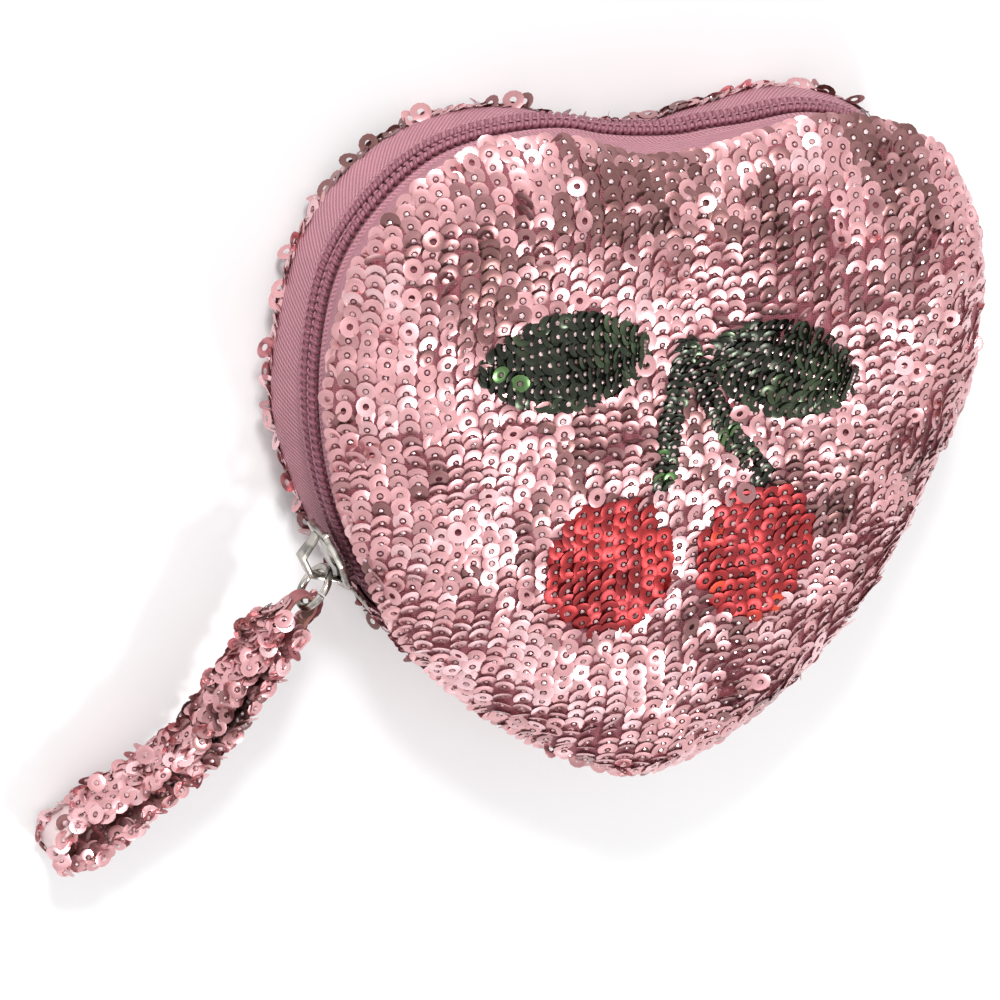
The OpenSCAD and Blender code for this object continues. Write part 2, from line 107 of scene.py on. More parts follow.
class PurseShape(bpy.types.PropertyGroup):
    """Outline and padded form, the same as the frame's."""

    heart_w: length("Heart width", 130, "Width across the lobes at the seams")
    lobe_r: length("Lobe radius", 36, "Radius over the top of each lobe")
    flank_r: length("Flank radius", 77, "Radius of the flank that the slider runs along")
    side_r: length("Lower side radius", 113, "Radius of the nearly straight lower side")
    tip_r: length("Tip radius", 19, "Radius of the rounded tip")
    cleft_r: length("Dip radius", 24, "Radius of the dip between the lobes")
    lobe_turn: angle("Lobe start", 166, "Direction from the flank's centre at which the lobe starts")
    side_turn: angle("Side start", 215.5, "Direction from the flank's centre at which the side starts")
    zip_end_turn: angle("Zip end", 213, "Direction from the flank's centre at which the zip ends")
    slider_turn: angle("Slider place", 204, "Direction from the flank's centre at which the slider is")
    gusset_d: length("Side wall depth", 21, "Depth of the side wall between the seams")
    tip_d: length("Wall depth at the tip", 8, "Depth of the side wall at the tip")
    taper_l: length("Taper length", 56, "Length over which the wall narrows to the tip")
    front_h: length("Front height", 12, "Height of the padded front above its seam")
    back_h: length("Back height", 8, "Height of the back below its seam")
    swell: length("Swell", 1.7, "How far both panels swell past their seams")
    flat_share: share("Flat share", 0.74, "Share of the back that rests flat")
    dome_power: share("Dome squareness", 0.72, "Power that squares off the front's dome")
    seam_gap: length("Seam gap", 0.125, "Half of the gap at a seam")
    wall_swell: length("Wall swell", 0.8, "How far the lower side wall swells out")


class PurseSlack(bpy.types.PropertyGroup):
    """Where the soft cloth strays from the frame's even shape."""

    lobe_droop: length("Lobe droop", 3.0, "How far the right lobe's inner slope droops")
    lobe_droop_x: length("Droop place", 20, "Where along X the droop is deepest")
    lobe_droop_w: length("Droop width", 11, "Half width of the droop")
    dip_rise: length("Dip rise", 1.0, "How far the dip is pulled up")
    bridge: length("Zip bridge", 3.6, "How far the zip bridges over the dip")
    bridge_w: length("Bridge width", 20, "Half width of that stretch")
    flank_sink: length("Flank sink", 1.0, "How much deeper the zip sits along the flanks")
    front_in: length("Front seam in", 1.8, "How far the front's seam is drawn in on the zip's closed side")
    front_out: length("Front seam out", 1.5, "How far the front's seam is pushed out on the open side")
    back_out: length("Back seam out", 1.6, "How far the back's seam is pushed out above the slider")
    low_side: length("Lower side out", 2.7, "How far the lower right side bulges")
    flat_side: length("Right side in", 2.8, "How far the right flank is flattened")


class PurseCloth(bpy.types.PropertyGroup):
    """Layers of cloth and their colours."""

    pile: length("Sequin height", 0.9, "Height of the sequins above their cloth")
    cloth_t: length("Cloth thickness", 0.5, "Thickness of the base cloth")
    pad_t: length("Wadding thickness", 2, "Thickness of the wadding")
    pad_in: length("Wadding depth", 1.85, "Depth of the wadding below the outer face")
    lining_t: length("Lining thickness", 0.5, "Thickness of the lining")
    lining_in: length("Lining depth", 4.15, "Depth of the lining below the outer face")
    puff: length("Puff limit", 1.1, "How far the simulated padding may move")
    fold_start: length("Fold start", -6, "Where the front starts to bend, along Y")
    fold_end: length("Fold end", 26, "Where the front has fully turned, along Y")
    # The base cloth shows only in the gaps between sequins; its dark red is partly its own colour, partly
    # painted shade for those gaps.
    base: colour("Base cloth", 158, 88, 98, "Colour of the cloth under the sequins")
    lining: colour("Lining", 196, 146, 156, "Colour of the lining")
    wadding: colour("Wadding", 236, 232, 228, "Colour of the wadding")


class PurseSequins(bpy.types.PropertyGroup):
    """Sequins, their rows and colours."""

    diameter: length("Diameter", 3.85, "Diameter of a sequin")
    hole: share("Hole share", 0.33, "Diameter of the hole as a share of the sequin's")
    cup: length("Cup", 0.09, "How far the rim stands above the hole")
    foil_t: length("Foil thickness", 0.11, "Thickness of a sequin")
    pitch: length("Pitch", 2.2, "Step between sequins along a row")
    row_gap: length("Row gap", 3.25, "Step between rows")
    wave: length("Wave", 2.0, "How far the rows wander")
    lean: angle("Lean", 13, "How far each sequin leans on the one before it")
    ripple: angle("Ripple", 12, "How far the cloth's ripples tilt the sequins together")
    tilt: angle("Tilt", 12.5, "Most that a sequin is tilted at random")
    loose_tilt: angle("Loose tilt", 45, "Most that a loose sequin is tilted")
    seed: IntProperty(name="Seed", description="Seed of the random tilts", default=7)
    # The pale and mauve ends of the pinks are partly the sequins' own spread of shade, partly painted
    # reflection: pale for bright surroundings, mauve for dark ones.
    pale: colour("Pale pink", 236, 194, 198, "Palest pink sequins")
    pink: colour("Pink", 216, 163, 166, "Most of the pink sequins")
    mauve: colour("Mauve", 150, 107, 108, "Darkest pink sequins")
    # The dark red is partly painted shade on the cherries.
    red: colour("Red", 150, 40, 42, "Cherry sequins")
    dark_red: colour("Dark red", 132, 38, 42, "Darkest cherry sequins")
    green: colour("Green", 68, 80, 60, "Leaf sequins")
    dark_green: colour("Dark green", 52, 57, 48, "Darkest leaf sequins")


class PurseZip(bpy.types.PropertyGroup):
    """Zip tapes and coil."""

    inset: length("Inset", 2.2, "How far the zip sits inside the seam line")
    chain_w: length("Chain width", 6.2, "Width of the closed chain")
    coil_h: length("Coil height", 2, "Height of the coil above the tape")
    row_gap: length("Row gap", 1.3, "Space between the two coil rows")
    tape_t: length("Tape thickness", 0.6, "Thickness of the woven tape")
    coil_pitch: length("Coil pitch", 1.5, "Step from turn to turn")
    wire_r: length("Filament radius", 0.42, "Radius of the coil's filament")
    tape: colour("Tape", 182, 124, 136, "Colour of the tape")
    coil: colour("Coil", 150, 88, 104, "Colour of the coil")
    thread: colour("Thread", 186, 126, 140, "Colour of the sewing thread")
    metal: colour("Metal", 188, 184, 176, "Colour of the slider and ring")


class PurseStrap(bpy.types.PropertyGroup):
    """Ring and pull strap, the same as the frame's but for a wider, swaying fold."""

    ring_r: length("Ring radius", 4.1, "From the ring's centre to the middle of its wire")
    wire_r: length("Ring wire radius", 0.72, "Radius of the ring's wire")
    ring_lean: angle("Ring lean", 28, "Lean of the ring towards the tip")
    strap_turn: angle("Strap turn", 6.5, "Turn of the strap back from the ring's lean")
    length: length("Strap length", 66, "From the ring to the fold")
    width: length("Strap width", 12, "Width of the strap")
    layer_t: length("Layer thickness", 2.3, "Thickness of one layer, sequins included")
    gap: length("Fold opening", 5.3, "Opening between the layers at the fold")
    neck_w: length("Neck width", 4, "Width where the strap is gathered")
    neck_t: length("Neck thickness", 1.4, "Thickness where the strap is gathered")
    neck_l: length("Neck length", 9, "Length over which the strap widens")
    bow: length("Bow", 4.8, "Sideways bow of the strap")
    sway: length("Sway", 0.9, "Sideways shift of the fold")
    loop_gap: length("Loop gap", 0.85, "Clearance of the gathered loop round the wire")


GROUPS = {
    "purse_shape": PurseShape, "purse_slack": PurseSlack, "purse_cloth": PurseCloth,
    "purse_sequins": PurseSequins, "purse_zip": PurseZip, "purse_strap": PurseStrap,
}


# Small maths


def turn_dir(a):
    return np.array([math.cos(a), math.sin(a)])


def smooth(t):
    k = np.clip(t, 0, 1)
    return k * k * (3 - 2 * k)


def step_up(value, start, reach):
    """Rises smoothly from 0 at start to 1 one reach further on."""
    return smooth((value - start) / reach)


def left_of(v):
    """The direction that lies a quarter turn to the left of a flat one."""
    return np.array([-v[1], v[0]])


def unit(v):
    v = np.asarray(v, float)
    return v / np.maximum(np.linalg.norm(v, axis=-1, keepdims=True), 1e-12)


def hill(x, y, at_x, at_y, reach):
    """Height of a soft round hill at x, y: 1 at its middle and nearly 0 past its reach."""
    return np.exp(-((x - at_x) ** 2 + (y - at_y) ** 2) / reach ** 2)


def run_lengths(line):
    """How far along a line of points each point lies."""
    return np.concatenate([[0], np.cumsum(np.linalg.norm(np.diff(line, axis=0), axis=1))])


# Slack on one stretch of the outline: its middle and reach, and the way that it moves the cloth.
LOW_SIDE_PLACE, LOW_SIDE_WAY = (22 * MM, -50 * MM, 21 * MM), (0.62, -0.78)
FLAT_SIDE_PLACE, FLAT_SIDE_WAY = (60 * MM, -14 * MM, 18 * MM), (-0.88, 0.45)
# The same for the back's seam, with one reach across and one along.
BACK_OUT_PLACE, BACK_OUT_REACH = (-63 * MM, 13 * MM), (14 * MM, 15 * MM)
# The raised dip, across: its middle and its reach.
DIP_X, DIP_REACH = -8 * MM, 12 * MM
# The droop also has a second, shallower part further out: its place and depth as shares of the first.
SECOND_DROOP_X, SECOND_DROOP_DEPTH = 1.9, 0.45
# Where slack sets in, upwards or away from the middle: the start and the length of each stretch.
LOBES_UP = (10 * MM, 30 * MM)
SEAM_IN_UP, SEAM_IN_LEFT = (-34 * MM, 24 * MM), (36 * MM, 16 * MM)
SEAM_OUT_UP, SEAM_OUT_RIGHT = (4 * MM, 28 * MM), (42 * MM, 14 * MM)
BRIDGE_UP, SINK_OUT = (0, 20 * MM), (38 * MM, 16 * MM)


class Heart:
    """The purse's outline as arcs, and the domes and walls that stand on it."""

    def __init__(self, scene):
        s = self.s = scene.purse_shape
        self.slack = scene.purse_slack
        flank_x = s.flank_r - s.heart_w / 2
        origin = np.array([flank_x, 0.0])
        lobe = origin + (s.flank_r - s.lobe_r) * turn_dir(s.lobe_turn)
        side = origin + (s.flank_r - s.side_r) * turn_dir(s.side_turn)
        tip_y = side[1] - math.sqrt((s.side_r - s.tip_r) ** 2 - side[0] ** 2)
        cleft_y = lobe[1] + math.sqrt((s.lobe_r + s.cleft_r) ** 2 - lobe[0] ** 2)
        up = np.array([0, -(lobe[1] + s.lobe_r + tip_y - s.tip_r) / 2])
        self.flank, self.lobe, self.side = origin + up, lobe + up, side + up
        self.tip, self.cleft = np.array([0, tip_y]) + up, np.array([0, cleft_y]) + up
        down = self.lobe - self.cleft
        self.cleft_turn = math.atan2(down[1], down[0])
        over = self.tip - self.side
        self.tip_turn = 2 * math.pi + math.atan2(over[1], over[0])
        self.bottom = self.tip[1] - s.tip_r
        self.mid = s.back_h + s.gusset_d / 2
        self.top = self.mid + s.gusset_d / 2 + s.front_h
        self.cy = (self.flank[1] + self.lobe[1]) / 2 - s.lobe_r / 2

    def wall(self, y):
        """Half of the side wall's depth at y."""
        s = self.s
        return (s.tip_d + (s.gusset_d - s.tip_d) * smooth((y - self.bottom) / s.taper_l)) / 2

    def settled(self, p):
        """Outline points moved by the cloth's own slack."""
        k = self.slack
        x, y = p[:, 0], p[:, 1]
        high = step_up(y, *LOBES_UP)
        droop = 0
        for depth, place in ((1, 1), (SECOND_DROOP_DEPTH, SECOND_DROOP_X)):
            droop += depth * k.lobe_droop * np.exp(-((x - place * k.lobe_droop_x) / k.lobe_droop_w) ** 2)
        rise = k.dip_rise * np.exp(-((x - DIP_X) / DIP_REACH) ** 2)
        low, (low_x, low_y) = k.low_side * hill(x, y, *LOW_SIDE_PLACE), LOW_SIDE_WAY
        flat, (flat_x, flat_y) = k.flat_side * hill(x, y, *FLAT_SIDE_PLACE), FLAT_SIDE_WAY
        up = high * (rise - droop) + low_y * low + flat_y * flat
        return p + np.stack([low_x * low + flat_x * flat, up], 1)

    def front_shift(self, x, y):
        """How far the front's seam strays outwards from the outline."""
        k = self.slack
        return (step_up(y, *SEAM_OUT_UP) * k.front_out * step_up(x, *SEAM_OUT_RIGHT)
                - step_up(y, *SEAM_IN_UP) * k.front_in * step_up(-x, *SEAM_IN_LEFT))

    def back_shift(self, x, y):
        """How far the back's seam strays outwards from the outline."""
        (at_x, at_y), (reach_x, reach_y) = BACK_OUT_PLACE, BACK_OUT_REACH
        return self.slack.back_out * np.exp(-((x - at_x) / reach_x) ** 2 - ((y - at_y) / reach_y) ** 2)

    def zip_inset(self, point, inset):
        """How deep the zip sits: it bridges the dip and sinks along the flanks."""
        k = self.slack
        x, y = point
        over = k.bridge * math.exp(-((x / k.bridge_w) ** 2)) * float(step_up(y, *BRIDGE_UP))
        return inset - over + k.flank_sink * float(step_up(abs(x), *SINK_OUT))

    def arcs(self, zip_only=False, wall_only=False):
        """Arcs of the left half from the dip to the tip: centre, radius, start, end, side."""
        s = self.s
        flank_end = s.zip_end_turn if zip_only else s.side_turn
        found = [
            (self.cleft, s.cleft_r, -math.pi / 2, self.cleft_turn, -1),
            (self.lobe, s.lobe_r, self.cleft_turn + math.pi, s.lobe_turn, 1),
            (self.flank, s.flank_r, s.lobe_turn, flank_end, 1),
        ]
        if zip_only:
            return found
        lower = [
            (self.side, s.side_r, s.side_turn, self.tip_turn, 1),
            (self.tip, s.tip_r, self.tip_turn, 1.5 * math.pi, 1),
        ]
        if wall_only:
            gap = 2 * s.seam_gap / s.flank_r
            return [(self.flank, s.flank_r, s.zip_end_turn + gap, s.side_turn, 1)] + lower
        return found + lower

    def half(self, arcs, step):
        """Points and outward normals along arcs, first to last."""
        points, normals = [], []
        for n, (centre, r, a0, a1, side) in enumerate(arcs):
            count = max(3, round(abs(a1 - a0) * r / step))
            for i in range(0 if n == 0 else 1, count + 1):
                d = turn_dir(a0 + (a1 - a0) * i / count)
                points.append(centre + r * d)
                normals.append(side * d)
        return np.array(points), np.array(normals)

    def loop(self, step):
        """The whole outline, counter-clockwise from the dip: points and normals."""
        p, n = self.half(self.arcs(), step)
        flip = np.array([-1, 1])
        return (self.settled(np.concatenate([p, (p * flip)[-2:0:-1]])),
                np.concatenate([n, (n * flip)[-2:0:-1]]))

    def path(self, step, arcs, tip_last=False):
        """A path that is symmetric about the middle, at even steps: points, normals, lengths."""
        p, n = self.half(arcs, step / 4)
        flip = np.array([-1, 1])
        if tip_last:
            p, n = np.concatenate([p, (p * flip)[-2::-1]]), np.concatenate([n, (n * flip)[-2::-1]])
        else:
            p, n = np.concatenate([p[::-1], (p * flip)[1:]]), np.concatenate([n[::-1], (n * flip)[1:]])
        run = run_lengths(p)
        at = np.linspace(0, run[-1], max(2, round(run[-1] / step)) + 1)
        even = [np.stack([np.interp(at, run, q[:, k]) for k in (0, 1)], 1) for q in (p, n)]
        return self.settled(even[0]), unit(even[1]), at

    def ring(self, p, n, o, a, level, front=True):
        """Outline points carried up the front's dome, or down the back's, by the turn a.

        o is how far they lie outside the outline, and level is the height of the crown or of the floor.
        """
        s = self.s
        shift = (self.front_shift if front else self.back_shift)(p[:, 0], p[:, 1])[:, None]
        line = p + (o + shift + s.swell * math.sin(2 * a)) * n
        if front:
            k = max(math.cos(a), 0) ** s.dome_power
            seam = self.mid + self.wall(p[:, 1]) + s.seam_gap
            z = seam + (level - seam) * math.sin(a)
        else:
            k = s.flat_share + (1 - s.flat_share) * math.cos(a)
            seam = self.mid - self.wall(p[:, 1]) - s.seam_gap
            z = level + (seam - level) * (1 - math.sin(a))
        return np.stack([k * line[:, 0], self.cy + k * (line[:, 1] - self.cy), z], 1)

    def front_dome(self, step, rings, inset):
        """Rings of points from the seam up to the crown, and the crown."""
        p, n = self.loop(step)
        crown = self.top - inset
        grid = [self.ring(p, n, -inset, math.pi / 2 * k / rings, crown) for k in range(rings)]
        return np.array(grid), np.array([0, self.cy, crown])

    def back_dome(self, step, rings, inset):
        """Rings of points from the seam down and in over the resting face, and its middle."""
        p, n = self.loop(step)
        turns = [math.pi / 2 * k / rings for k in range(rings + 1)]
        grid = [self.ring(p, n, -inset, a, inset, front=False) for a in turns]
        middle = np.array([0, self.cy, inset])
        flat_rings = rings // 2
        grid += [middle + (grid[rings] - middle) * (1 - k / flat_rings) for k in range(1, flat_rings)]
        return np.array(grid), middle


# Meshes

# Edges sharper than this stay sharp in smooth shading, on cloth strips and on metal.
STRIP_CREASE, METAL_CREASE = math.radians(40), math.radians(35)


def scene_link(obj):
    bpy.context.scene.collection.objects.link(obj)
    return obj


@contextmanager
def edited(mesh):
    """A mesh under edit, written back when the edit ends."""
    build = bmesh.new()
    build.from_mesh(mesh)
    yield build
    build.to_mesh(mesh)
    build.free()


def smoothed(mesh, on=True):
    mesh.polygons.foreach_set("use_smooth", [on] * len(mesh.polygons))


def evaluated(obj, keep_layers=False):
    """The mesh of an object as its modifiers leave it."""
    depsgraph = bpy.context.evaluated_depsgraph_get()
    options = {"preserve_all_data_layers": True, "depsgraph": depsgraph} if keep_layers else {}
    return bpy.data.meshes.new_from_object(obj.evaluated_get(depsgraph), **options)


def mesh_object(name, vertices, faces, uv=None, material=None, smooth_faces=True, closed=True):
    """A new object from points and faces. uv is one pair per vertex."""
    mesh = bpy.data.meshes.new(name)
    mesh.from_pydata([tuple(map(float, v)) for v in vertices], [], [tuple(map(int, f)) for f in faces])
    if uv is not None:
        layer = mesh.uv_layers.new(name="cloth")
        corners = np.zeros(len(mesh.loops), np.int32)
        mesh.loops.foreach_get("vertex_index", corners)
        layer.data.foreach_set("uv", np.asarray(uv, np.float32)[corners].ravel())
    if closed:
        with edited(mesh) as build:
            bmesh.ops.recalc_face_normals(build, faces=build.faces)
    smoothed(mesh, smooth_faces)
    if material:
        mesh.materials.append(material)
    mesh.update()
    return scene_link(bpy.data.objects.new(name, mesh))


def ring_faces(first, rows, count, closed=True):
    """Quads between rows of points that are numbered row by row."""
    faces = []
    for k in range(rows - 1):
        for i in range(count if closed else count - 1):
            a, b = first + k * count + i, first + k * count + (i + 1) % count
            faces.append((a, b, b + count, a + count))
    return faces


def dome_sheet(name, outer, outer_tip, inner, inner_tip, material=None, flat=None):
    """A closed shell between two domes of points, joined along their edge rings."""
    count = outer.shape[1]
    size = len(outer) * count + 1
    vertices = np.concatenate([outer.reshape(-1, 3), [outer_tip], inner.reshape(-1, 3), [inner_tip]])
    faces = []
    for first, rows in ((0, len(outer)), (size, len(inner))):
        faces += ring_faces(first, rows, count)
        last = first + (rows - 1) * count
        faces += [(last + i, last + (i + 1) % count, first + rows * count) for i in range(count)]
    faces += [(i, (i + 1) % count, size + (i + 1) % count, size + i) for i in range(count)]
    uv = None if flat is None else np.concatenate([flat, flat])
    return mesh_object(name, vertices, faces, uv, material)


def sweep(name, sections, material, closed_path=False, uv=None, crease=False):
    """A tube through sections, an array of (stations, points of the section, 3)."""
    stations, count = sections.shape[:2]
    faces = ring_faces(0, stations, count)
    if closed_path:
        last = (stations - 1) * count
        faces += [(last + i, last + (i + 1) % count, (i + 1) % count, i) for i in range(count)]
    else:
        faces += [tuple(range(count)), tuple(range((stations - 1) * count, stations * count))]
    obj = mesh_object(name, sections.reshape(-1, 3), faces, uv, material)
    if crease:
        crease_edges(obj, STRIP_CREASE)
    return obj


def crease_edges(obj, limit):
    """Marks edges sharper than limit, so that smooth shading stops there."""
    with edited(obj.data) as build:
        for edge in build.edges:
            if len(edge.link_faces) == 2 and edge.calc_face_angle(0) > limit:
                edge.smooth = False


def flat_map(grid, tip):
    """Where each point of a dome lies on flat cloth: its distance from the crown, in its direction."""
    rows, count = grid.shape[:2]
    chain = np.concatenate([np.broadcast_to(tip, (1, count, 3)), grid[::-1]])
    run = np.cumsum(np.linalg.norm(np.diff(chain, axis=0), axis=2), axis=0)[::-1]
    spoke = grid[0, :, :2] - tip[:2]
    spoke = spoke / np.linalg.norm(spoke, axis=1, keepdims=True)
    flat = run[:, :, None] * spoke[None]
    return np.concatenate([flat.reshape(-1, 2), [[0, 0]]])


class Laid:
    """The outer face of a cloth in place, with its flat layout: finds where a flat point lies."""

    def __init__(self, obj):
        mesh = obj.data
        outer = len(mesh.vertices) // 2
        self.co = [v.co.copy() for v in mesh.vertices][:outer]
        self.normal = [v.normal.copy() for v in mesh.vertices][:outer]
        layer = mesh.uv_layers["cloth"].data
        flat = [None] * outer
        self.triangles = []
        for face in mesh.polygons:
            corners = list(face.vertices)
            if max(corners) >= outer:
                continue
            for corner, loop in zip(corners, face.loop_indices):
                flat[corner] = Vector((*layer[loop].uv, 0))
            self.triangles += [(corners[0], corners[i], corners[i + 1]) for i in range(1, len(corners) - 1)]
        self.flat = [f or Vector((0, 0, 0)) for f in flat]
        self.flat_tree = BVHTree.FromPolygons(self.flat, self.triangles)
        self.tree = BVHTree.FromPolygons(self.co, self.triangles)

    def _read(self, index, at, source):
        """Place and normal of a point that lies on one triangle of the source layout."""
        a, b, c = self.triangles[index]
        corners = [source[a], source[b], source[c]]
        p = barycentric_transform(at, *corners, self.co[a], self.co[b], self.co[c])
        n = barycentric_transform(at, *corners, self.normal[a], self.normal[b], self.normal[c])
        return p, n.normalized()

    def at_flat(self, u, v):
        hit, _, index, _ = self.flat_tree.ray_cast(Vector((u, v, 1)), Vector((0, 0, -1)))
        return self._read(index, hit, self.flat) if hit else None

    def below(self, x, y, side=1):
        """The point that is seen at x, y from above, or from below where side is -1."""
        hit, _, index, _ = self.tree.ray_cast(Vector((x, y, side)), Vector((0, 0, -side)))
        return self._read(index, hit, self.co) if hit else None


# Node trees


class Sock:
    """An output socket as a number: each sum or product adds its Math node."""

    def __init__(self, nodes, socket):
        self.nodes, self.socket = nodes, socket

    def at(self, name):
        return Sock(self.nodes, self.socket.node.outputs[name])

    def math(self, operation, *others):
        return self.nodes.add(self.nodes.maths, dict(enumerate([self, *others])), operation=operation)

    def __add__(self, other):
        return self.math("ADD", other)

    def __mul__(self, other):
        return self.math("MULTIPLY", other)

    def __sub__(self, other):
        return self.math("SUBTRACT", other)

    def __truediv__(self, other):
        return self.math("DIVIDE", other)

    def __rsub__(self, other):
        return self.nodes.add(self.nodes.maths, {0: other, 1: self}, operation="SUBTRACT")

    __radd__, __rmul__ = __add__, __mul__


class Nodes:
    """Adds nodes to a tree: a node's type, its settings, and its sockets' values or links."""

    def __init__(self, tree, maths="ShaderNodeMath"):
        self.tree, self.maths = tree, maths

    def add(self, kind, sockets=(), output=0, stops=None, **settings):
        node = self.tree.nodes.new(kind)
        for name, value in settings.items():
            setattr(node, name, value)
        if stops:
            ramp = node.color_ramp.elements
            while len(ramp) < len(stops):
                ramp.new(0.5)
            for element, (place, shade) in zip(ramp, stops):
                element.position, element.color = place, shade
        for key, value in dict(sockets).items():
            self.put(node.inputs[key], value)
        return Sock(self, node.outputs[output])

    def put(self, socket, value):
        if isinstance(value, Sock):
            self.tree.links.new(value.socket, socket)
        else:
            socket.default_value = value


def finish_of(name, make, **fixed):
    """A material: make adds its nodes and returns what varies, and fixed holds what doesn't."""
    name = "purse_" + name
    material = bpy.data.materials.get(name)
    if material:
        return material
    material = bpy.data.materials.new(name)
    material.use_nodes = True
    nodes = Nodes(material.node_tree)
    shader = next(n for n in material.node_tree.nodes if n.type == "BSDF_PRINCIPLED")
    for key, value in {**fixed, **make(nodes)}.items():
        nodes.put(shader.inputs[key], value)
    return material


def mixed(nodes, amount, first, second):
    """One colour turning into another."""
    return nodes.add(
        "ShaderNodeMix", {0: amount, 6: first, 7: second}, output=2, data_type="RGBA")


def noise_of(nodes, where, scale, detail=2.0):
    return nodes.add("ShaderNodeTexNoise", {"Vector": where, "Scale": scale, "Detail": detail})


def object_place(nodes):
    return nodes.add("ShaderNodeTexCoord", output="Object")


def cloth_place(nodes):
    return nodes.add("ShaderNodeUVMap", uv_map="cloth")


def split(nodes, vector):
    x = nodes.add("ShaderNodeSeparateXYZ", {"Vector": vector})
    return x, x.at("Y"), x.at("Z")


def bump(nodes, height, distance, strength=1.0):
    return nodes.add("ShaderNodeBump", {"Height": height, "Distance": distance, "Strength": strength})


def ramp(nodes, amount, *stops):
    """A colour that runs through stops, each a place from 0 to 1 and its colour."""
    return nodes.add("ShaderNodeValToRGB", {"Fac": amount}, stops=stops)


def threads(value, size):
    """Even threads across a value, as waves from 0 to 1."""
    return (value * (2 * math.pi / size)).math("SINE") * 0.5 + 0.5


def foil_finish(name, *stops, roughness=0.3, metallic=0.8):
    """Sequin foil: each sequin has its own shade, partly a random spread and partly painted shade and painted
    reflection, and the foil is slightly uneven.
    """

    def make(nodes):
        tone = nodes.add("ShaderNodeAttribute", output="Fac", attribute_name="tone")
        place = object_place(nodes)
        return {
            "Base Color": ramp(nodes, tone, *stops),
            "Roughness": noise_of(nodes, place, 420.0) * 0.2 + (roughness - 0.1),
            "Normal": bump(nodes, noise_of(nodes, place, 1100.0, 1.0), 0.03 * MM, 0.5),
        }

    return finish_of(name, make, Metallic=metallic)


def knit_finish(name, shade, thread_size=0.45 * MM, place_of=object_place, roughness=0.75):
    """Fine knitted or woven cloth, with threads both ways."""

    def make(nodes):
        place = place_of(nodes)
        x, y, _ = split(nodes, place)
        weave = threads(x, thread_size) * threads(y, thread_size)
        blotch = noise_of(nodes, place, 160.0)
        return {
            "Base Color": mixed(
                nodes, weave * 0.6 + blotch * 0.4, shaded(shade, 0.55), shaded(shade, 1.25)),
            "Roughness": blotch * 0.2 + (roughness - 0.1),
            "Normal": bump(nodes, weave, 0.12 * MM, 0.6),
        }

    return finish_of(name, make)


def tape_finish(shade):
    """Zip tape: diagonal twill along the tape, with paler thread tops and darker grooves: partly the twill's
    own pattern, partly painted highlight and painted shade.
    """
    twill_size, row_size, wander = 0.95 * MM, 0.5 * MM, 0.5 * MM

    def make(nodes):
        place = cloth_place(nodes)
        u, v, _ = split(nodes, place)
        twill = threads(u + v * 1.1 + noise_of(nodes, place, 300.0) * wander, twill_size)
        weave = twill * 0.7 + threads(v, row_size) * 0.3
        blotch = noise_of(nodes, object_place(nodes), 240.0)
        return {
            "Base Color": mixed(
                nodes, weave * 0.75 + blotch * 0.25, shaded(shade, 0.45), shaded(shade, 1.35)),
            "Roughness": blotch * 0.2 + 0.4,
            "Normal": bump(nodes, weave, 0.2 * MM, 1.0),
        }

    return finish_of("zip_tape", make)


def plain_finish(name, shade, roughness, spread=0.2, scale=300.0, depth=0.03 * MM):
    """A moulded or spun surface with small changes of shade, gloss and height."""

    def make(nodes):
        place = object_place(nodes)
        blotch = noise_of(nodes, place, scale)
        return {
            "Base Color": mixed(nodes, blotch, shaded(shade, 1 - spread), shade),
            "Roughness": blotch * 0.15 + (roughness - 0.075),
            "Normal": bump(nodes, noise_of(nodes, place, scale * 3), depth, 0.5),
        }

    return finish_of(name, make)


def metal_finish(shade):
    """Polished nickel with a warm grey cast, darker patches of noise painted in as reflections, and fine rub
    marks.
    """

    def make(nodes):
        place = object_place(nodes)
        rub = noise_of(nodes, place, 700.0, 4.0)
        # Darker patches in the colour: painted reflection.
        painted_reflection = noise_of(nodes, place, 420.0, 1.0)
        return {
            "Base Color": ramp(
                nodes, painted_reflection, (0.36, shaded(shade, 0.42)), (0.5, shaded(shade, 0.85)), (0.62, shade)),
            "Roughness": rub * 0.2 + 0.08,
            "Normal": bump(nodes, rub, 0.02 * MM, 0.5),
        }

    return finish_of("bright_metal", make, Metallic=1.0)


def strap_finish(scene):
    """Strap cloth: brownish inside the loop, and bare pale satin round the fold."""
    thread_size = 0.4 * MM

    def make(nodes):
        tone = nodes.add("ShaderNodeAttribute", output="Fac", attribute_name="tone")
        u, v, _ = split(nodes, cloth_place(nodes))
        turns = 2 * math.pi / thread_size
        weave = (u * turns).math("SINE") * (v * turns).math("SINE") * 0.5 + 0.5
        shade = ramp(
            nodes, tone, (0.0, srgb(128, 84, 82)), (0.5, scene.purse_cloth.base),
            (1.0, srgb(226, 204, 204)))
        speck = noise_of(nodes, object_place(nodes), 800.0)
        return {
            "Base Color": mixed(nodes, speck * (0.6 - tone * 0.6), shade, srgb(150, 112, 70)),
            "Roughness": speck * 0.2 + (0.55 - tone * 0.25),
            "Normal": bump(nodes, weave, 0.1 * MM, 0.6),
        }

    return finish_of("strap_cloth", make)


def table_finish():
    """A pale table that reads as white to the camera and keeps the shadow."""

    def make(nodes):
        seen = nodes.add("ShaderNodeLightPath", output="Is Camera Ray")
        speck = noise_of(nodes, object_place(nodes), 30.0)
        return {
            "Base Color": mixed(nodes, speck, (0.86, 0.86, 0.86, 1), (0.9, 0.9, 0.9, 1)),
            "Emission Color": mixed(nodes, seen, (0, 0, 0, 1), (0.05, 0.05, 0.05, 1)),
        }

    return finish_of("pale_table", make, Roughness=0.7, **{"Emission Strength": 1.0})


# This purse's own finishes


def base_cloth(scene):
    return knit_finish("sequin_base_cloth", scene.purse_cloth.base)


